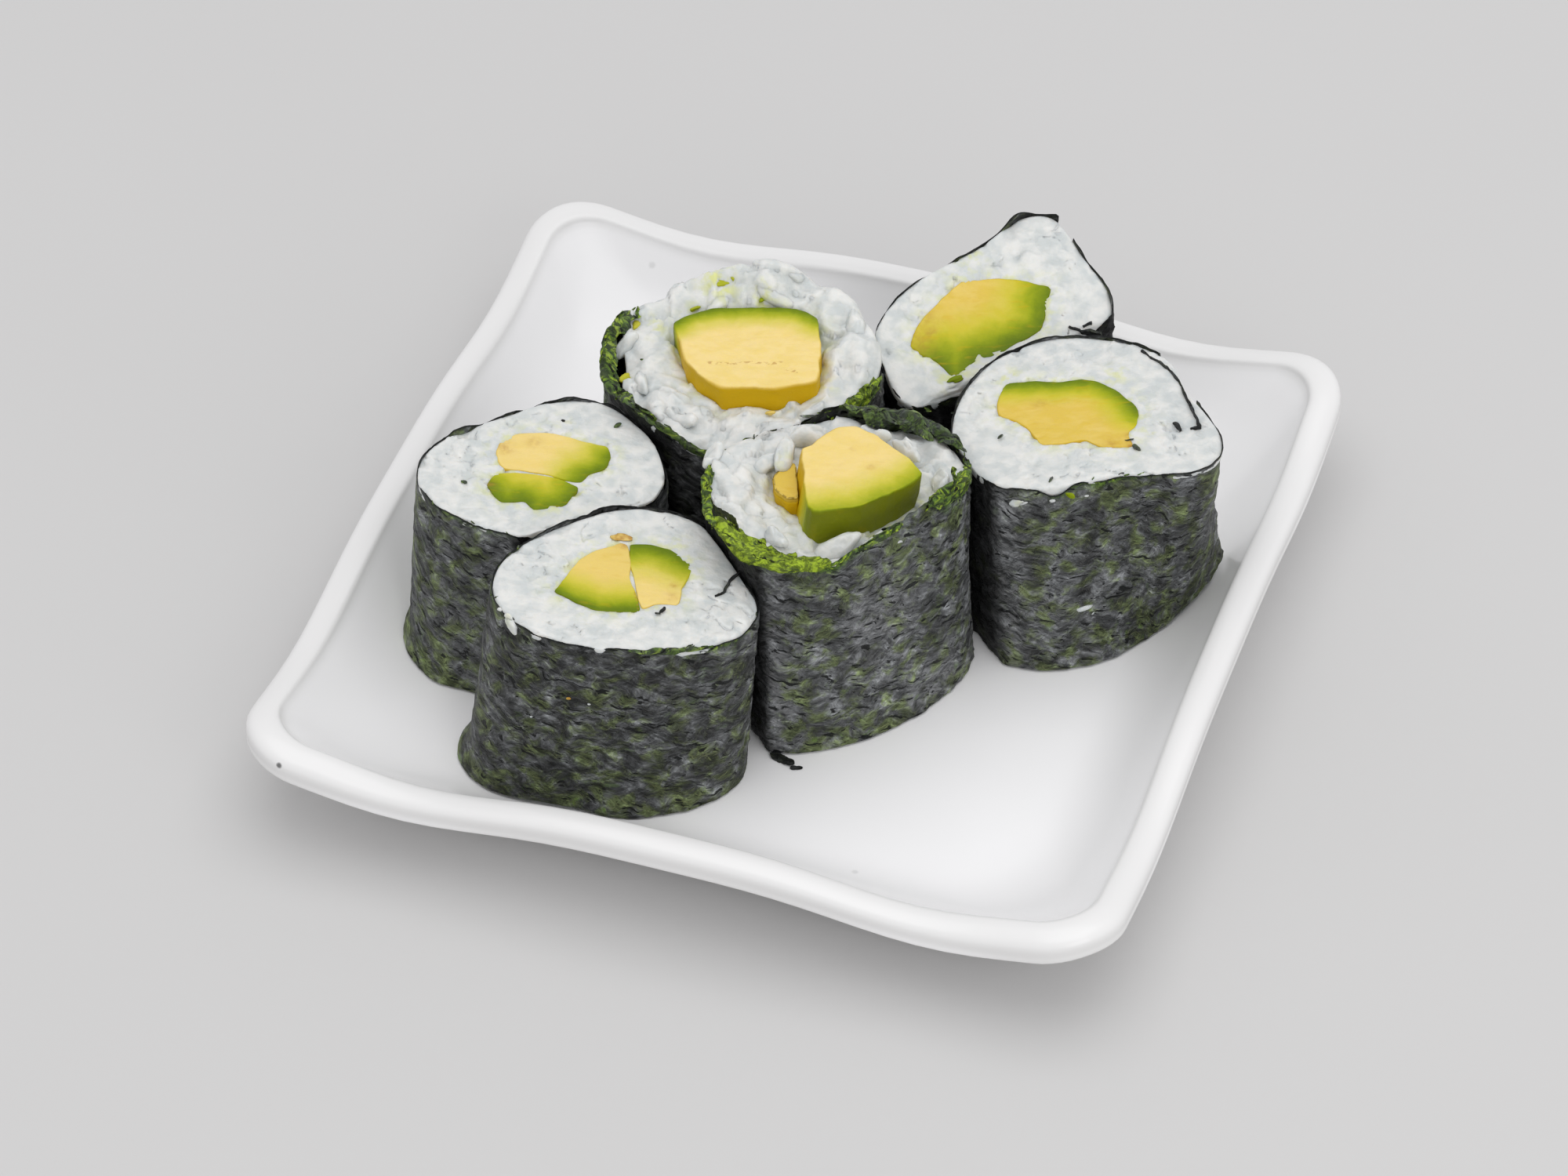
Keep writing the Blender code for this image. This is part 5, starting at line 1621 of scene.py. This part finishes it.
def spots_at(flat, spots):
    """How strong the round spots are at flat points."""
    strong = np.zeros(len(flat))
    for across, along, radius, strength in spots:
        away = np.hypot(flat[:, 0] - across, flat[:, 1] - along)
        strong = np.maximum(strong, strength * bell(away, 0.0, radius))
    return strong


def build_fruit(name, fruit, look, finish):
    """One slice of avocado from the dish up, with a soft cut edge and an uneven face."""
    roll = fruit.roll
    seed = FRUIT_SEED + sum(ord(letter) for letter in name)
    outline = evened(softened(fruit.corners, 2, 0.13), OUTLINE_STEPS)
    middle = outline.mean(axis=0)
    wobble = rough(flat_points(outline[:, 0], outline[:, 1]), 3.2, FRUIT_SEED, 3)
    outline = outline + unit(outline - middle) * (wobble * look.ragged)[:, None]
    foot = roll.foot + flat_points(outline[:, 0] * 0.96, outline[:, 1] * 0.96)
    foot[:, 2] = dish_height(foot[:, 0], foot[:, 1]) + STAND_OFF
    rings, spots, rises, sides = [foot], [outline], [-28.0], [1.0]

    def ring(share, drop, side):
        """A ring at this share of the outline and this far under the top face."""
        here = middle + (outline - middle) * share + fruit.lean * min(drop, LEAN_DEPTH)
        rings.append(roll.on_cut(here[:, 0], here[:, 1], fruit.rise - drop))
        spots.append(here)
        rises.append(fruit.rise - drop)
        sides.append(side)

    for drop in SIDE_DROPS:
        ring(1.0, drop, 1.0)
    for turn in EDGE_TURNS:
        ring(1.0 - fruit.rim * (1.0 - math.cos(turn * math.pi / 2)) / 9.0,
             fruit.rim * (1.0 - math.sin(turn * math.pi / 2)), 1.0 - turn)
    for share in TOP_SHARES:
        ring(share, 0.0, 0.0)
    rings, spots = np.array(rings), np.array(spots)
    side, rise = (np.tile(np.array(values)[:, None], OUTLINE_STEPS) for values in (sides, rises))
    relief = rough(flat_points(spots[..., 0], spots[..., 1]), 3.5, seed + 1, 3) * 0.16
    rings += roll.axis * (relief * (1.0 - side))[..., None]
    walls = rough(flat_points(spots[..., 0], spots[..., 1], rise * 1.6), 3.6, seed + 2, 2) * 0.25
    outward = unit(spots - middle)
    lift = roll.along_x * outward[..., :1] + roll.along_y * outward[..., 1:]
    rings[1:] += lift[1:] * (walls * side)[1:, :, None]
    points, faces = closed_skin(rings)
    flat = np.concatenate([spots.reshape(-1, 2), [middle, middle]])
    side = np.append(side, [1.0, 0.0])
    skin = line_distance(flat, fruit.skin, False)[0] if len(fruit.skin) > 1 else np.full(len(flat), NO_SKIN)
    scar = np.full(len(flat), NO_SCAR)
    for line, in rows_of(SCARS, name):
        scar = np.minimum(scar, line_distance(flat, line, False)[0])
    add_piece("avocado_slice_" + name, points, faces, finish, ["avocado_" + name],
              {"skin": (skin + fruit.peel * (1.0 - side)) / fruit.band, "side": side,
               "deep": np.full(len(flat), fruit.ripe), "bruise": spots_at(flat, rows_of(SPOTS, name)),
               "scar": scar + 2.0 * side})


# Settings -----------------------------------------------------------------------------------


def colour_setting(name, value, text):
    return FloatVectorProperty(name=name, description=text, default=value, size=3, subtype="COLOR", min=0.0, max=1.0)


def size_setting(name, value, text):
    return FloatProperty(name=name, description=text + ", in millimetres", default=value)


def count_setting(name, value, text):
    return IntProperty(name=name, description=text, default=value, min=1)


def share_setting(name, value, text, unit="NONE"):
    return FloatProperty(name=name, description=text, default=value, min=0.0, unit=unit)


class DishLook(PropertyGroup):
    colour: colour_setting("Glaze", (0.95, 0.945, 0.95), "Colour of the dish")
    # Rim: painted shade on the bead and outer edge; the glaze itself is the same white there.
    rim: colour_setting("Rim", (0.80, 0.795, 0.79), "Colour of the rim, where the glaze is thin")
    gloss: FloatProperty(name="Roughness", description="How dull the glaze is", default=0.2, min=0.0, max=1.0)


class SeaweedLook(PropertyGroup):
    thickness: size_setting("Thickness", 0.22, "Thickness of the sheet")
    wrinkle: size_setting("Wrinkles", 0.38, "Height of the wrinkles")
    crease: size_setting("Creases", 0.6, "Height of creases at the contacts")
    columns: count_setting("Columns", 256, "Steps round the sheet")
    rows: count_setting("Rows", 52, "Steps up the sheet")
    slate: colour_setting("Slate", (0.050, 0.052, 0.054), "Colour of the sheet")
    olive: colour_setting("Olive", (0.050, 0.063, 0.027), "Colour of the olive patches")
    # Partly the colour of dry strands, partly painted glints.
    strands_and_glints: colour_setting("Thread", (0.200, 0.200, 0.175), "Colour of the dry strands")
    green: colour_setting("Green", (0.230, 0.260, 0.110), "Colour of the greener strands")
    # Painted sheen: light reflected off the creases, painted into the colour.
    painted_sheen: colour_setting("Sheen", (0.230, 0.225, 0.225), "Colour of polished creases")
    # Painted light shining through thin seaweed.
    leaf: colour_setting("Leaf", (0.110, 0.205, 0.020), "Colour of thin seaweed with light in it")
    # Painted glints on the torn edges.
    bright: colour_setting("Bright", (0.360, 0.500, 0.030), "Colour of the brightest torn edge")


class RiceLook(PropertyGroup):
    length: size_setting("Length", 6.0, "Length of a grain")
    width: size_setting("Width", 2.7, "Width of a grain")
    depth: size_setting("Depth", 3.6, "Depth of the loose layer")
    fill: share_setting("Fill", 1.0, "Share of the layer that the grains fill")
    squash: share_setting("Squash", 0.86, "How close two grains lie, 1 for touching")
    jostles: count_setting("Jostles", 70, "Rounds of jostling before the grains lie still")
    groove: size_setting("Groove", 0.10, "Depth between cut grains")
    step: size_setting("Step", 0.03, "How uneven the knife leaves the grains")
    sunk: size_setting("Sunk", 0.15, "How far cut grains lie under the smear")
    skin: size_setting("Skin", -0.03, "How far cut grains stand proud")
    mortar: size_setting("Mortar", -0.4, "How far heaped grains stand proud")
    crest_step: count_setting("Crest step", 18, "Degrees from one crest grain to the next")
    relief: share_setting("Relief", 0.6, "How clearly heaped grains show, 1 for fully")
    crag: size_setting("Crags", 0.62, "Unevenness of the heaped rice")
    chunk: size_setting("Chunks", 0.02, "Unevenness of the cut rice")
    fillet: size_setting("Fillet", 0.45, "Depth between heaped grains")
    soft: share_setting("Softness", 0.3, "How softly the grains run together")
    clear: size_setting("Clearance", 0.8, "Room under the cut for the creased wrap")
    bulge: size_setting("Bulge", 0.36, "How far rice swells over the wrap")
    wall: size_setting("Wall", 0.26, "Room for the wrap round the rice")
    around: count_setting("Around", 260, "Steps round the body of rice")
    rings: count_setting("Rings", 44, "Rings on top of the body of rice")
    white: colour_setting("White", (0.745, 0.745, 0.72), "Colour of the whitest grains")
    shade: colour_setting("Shade", (0.58, 0.61, 0.605), "Colour of the glassy parts")
    stain: colour_setting("Stain", (0.66, 0.68, 0.28), "Colour of rice stained by the fruit")


class AvocadoLook(PropertyGroup):
    ragged: size_setting("Ragged", 0.35, "Unevenness of the outline")
    flesh: colour_setting("Flesh", (0.83, 0.635, 0.215), "Colour of the flesh")
    pale: colour_setting("Pale", (0.86, 0.67, 0.275), "Colour of the paler flesh")
    deep: colour_setting("Deep", (0.71, 0.51, 0.085), "Colour of the ripest flesh")
    # Also used for streaks on the tops; on the sides it is partly painted shade.
    ochre: colour_setting("Ochre", (0.64, 0.40, 0.004), "Colour of the flesh at the sides")
    lime: colour_setting("Lime", (0.54, 0.52, 0.01), "Colour between flesh and green")
    green: colour_setting("Green", (0.275, 0.34, 0.0005), "Colour next to the skin")
    rind: colour_setting("Rind", (0.12, 0.185, 0.001), "Colour where the skin was")
    # Partly painted shade on the outer sides.
    olive: colour_setting("Olive", (0.19, 0.215, 0.004), "Colour of the outer side")
    bruise: colour_setting("Bruise", (0.42, 0.20, 0.04), "Colour of bruises")


class StageLook(PropertyGroup):
    floor: colour_setting("Floor", (0.60, 0.595, 0.59), "Colour of the floor")
    sky: share_setting("Sky", 0.74, "Strength of the light from all round")
    key: share_setting("Key", 4.3, "Power of the large lamp", "POWER")
    fill: share_setting("Fill", 1.6, "Power of the lamp in front", "POWER")


GROUPS = {"dish_look": DishLook, "seaweed_look": SeaweedLook, "rice_look": RiceLook, "avocado_look": AvocadoLook,
          "stage_look": StageLook}


# Operators ----------------------------------------------------------------------------------


class ROLLDISH_OT_dish(Operator):
    """Build the square dish with its beaded rim"""
    bl_idname = "rolldish.dish"
    bl_label = "Dish"

    def execute(self, context):
        build_dish(context.scene.dish_look)
        return {"FINISHED"}


class ROLLDISH_OT_seaweed(Operator):
    """Wrap every roll in its sheet of seaweed"""
    bl_idname = "rolldish.seaweed"
    bl_label = "Seaweed"

    def execute(self, context):
        look = context.scene.seaweed_look
        finish = seaweed_finish(look)
        for roll in ROLLS.values():
            build_sheet(roll, look, finish)
        build_flaps(finish)
        return {"FINISHED"}


class ROLLDISH_OT_rice(Operator):
    """Fill every roll with rice, grain by grain at the top"""
    bl_idname = "rolldish.rice"
    bl_label = "Rice"

    def execute(self, context):
        look = context.scene.rice_look
        finish = rice_finish(look)
        for roll in ROLLS.values():
            build_rice(roll, look, finish)
        build_grains(look, finish)
        return {"FINISHED"}


class ROLLDISH_OT_avocado(Operator):
    """Set the slices of avocado in the rice"""
    bl_idname = "rolldish.avocado"
    bl_label = "Avocado"

    def execute(self, context):
        look = context.scene.avocado_look
        finish = avocado_finish(look)
        for name, fruit in FRUIT.items():
            build_fruit(name, fruit, look, finish)
        build_smears(finish)
        return {"FINISHED"}


class ROLLDISH_OT_stage(Operator):
    """Set up the floor, the soft lights and the camera"""
    bl_idname = "rolldish.stage"
    bl_label = "Stage"

    def execute(self, context):
        look = context.scene.stage_look
        build_floor(look)
        build_lights(look)
        build_camera()
        return {"FINISHED"}


def build_floor(look):
    finish = Finish("floor_paint", 0.7)
    grain = finish.noise(finish.place(), 60.0, 3.0)
    finish.done(Base_Color=finish.mix(grain * 0.4, look.floor, [0.96 * part for part in look.floor]))
    data = bpy.data.meshes.new("floor")
    side = np.linspace(-FLOOR_REACH, FLOOR_REACH, FLOOR_LINES)
    x, y = np.meshgrid(side, side, indexing="ij")
    data.from_pydata(flat_points(x, y).reshape(-1, 3).tolist(), [], grid_faces(FLOOR_LINES, FLOOR_LINES).tolist())
    data.materials.append(finish.material)
    floor = bpy.data.objects.new("floor", data)
    bpy.context.scene.collection.objects.link(floor)


def add_lamp(name, power, place, target, size):
    data = bpy.data.lights.new(name, "AREA")
    data.shape = "RECTANGLE"
    data.size, data.size_y = size
    data.energy = power
    lamp = bpy.data.objects.new(name, data)
    lamp.location = place
    lamp.rotation_euler = (Vector(target) - Vector(place)).to_track_quat("-Z", "Y").to_euler()
    bpy.context.scene.collection.objects.link(lamp)


def build_lights(look):
    world = bpy.data.worlds.new("studio")
    world.use_nodes = True
    sky = world.node_tree.nodes["Background"].inputs
    sky["Color"].default_value, sky["Strength"].default_value = SKY_COLOUR, look.sky
    bpy.context.scene.world = world
    add_lamp("key", look.key, *KEY_LAMP)
    add_lamp("fill", look.fill, *FILL_LAMP)
    bpy.context.scene.view_settings.view_transform = "Standard"


def build_camera():
    data = bpy.data.cameras.new("camera")
    data.sensor_fit = "HORIZONTAL"
    data.sensor_width = CAMERA_SENSOR
    data.lens = CAMERA_LENS
    data.clip_start, data.clip_end = CAMERA_CLIP
    camera = bpy.data.objects.new("camera", data)
    camera.location = CAMERA_PLACE
    camera.rotation_euler = Euler([math.radians(turn) for turn in CAMERA_TURN])
    bpy.context.scene.collection.objects.link(camera)
    bpy.context.scene.camera = camera


class ROLLDISH_PT_panel(Panel):
    """The steps that build the dish of rolls"""
    bl_idname = "ROLLDISH_PT_panel"
    bl_label = "Roll Dish"
    bl_space_type = "VIEW_3D"
    bl_region_type = "UI"
    bl_category = "Roll Dish"

    def draw(self, context):
        for operator in OPERATORS:
            self.layout.operator(operator.bl_idname)
        for name in GROUPS:
            box = self.layout.box()
            for setting in getattr(context.scene, name).__annotations__:
                box.prop(getattr(context.scene, name), setting)


OPERATORS = (ROLLDISH_OT_dish, ROLLDISH_OT_seaweed, ROLLDISH_OT_rice, ROLLDISH_OT_avocado, ROLLDISH_OT_stage)
CLASSES = (*GROUPS.values(), *OPERATORS, ROLLDISH_PT_panel)


def register():
    for kind in CLASSES:
        bpy.utils.register_class(kind)
    for name, group in GROUPS.items():
        setattr(bpy.types.Scene, name, PointerProperty(type=group))


def unregister():
    for name in GROUPS:
        delattr(bpy.types.Scene, name)
    for kind in reversed(CLASSES):
        bpy.utils.unregister_class(kind)


def main():
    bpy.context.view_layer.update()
    register()
    for operator in OPERATORS:
        group, name = operator.bl_idname.split(".")
        getattr(getattr(bpy.ops, group), name)()


if __name__ == "__main__":
    main()
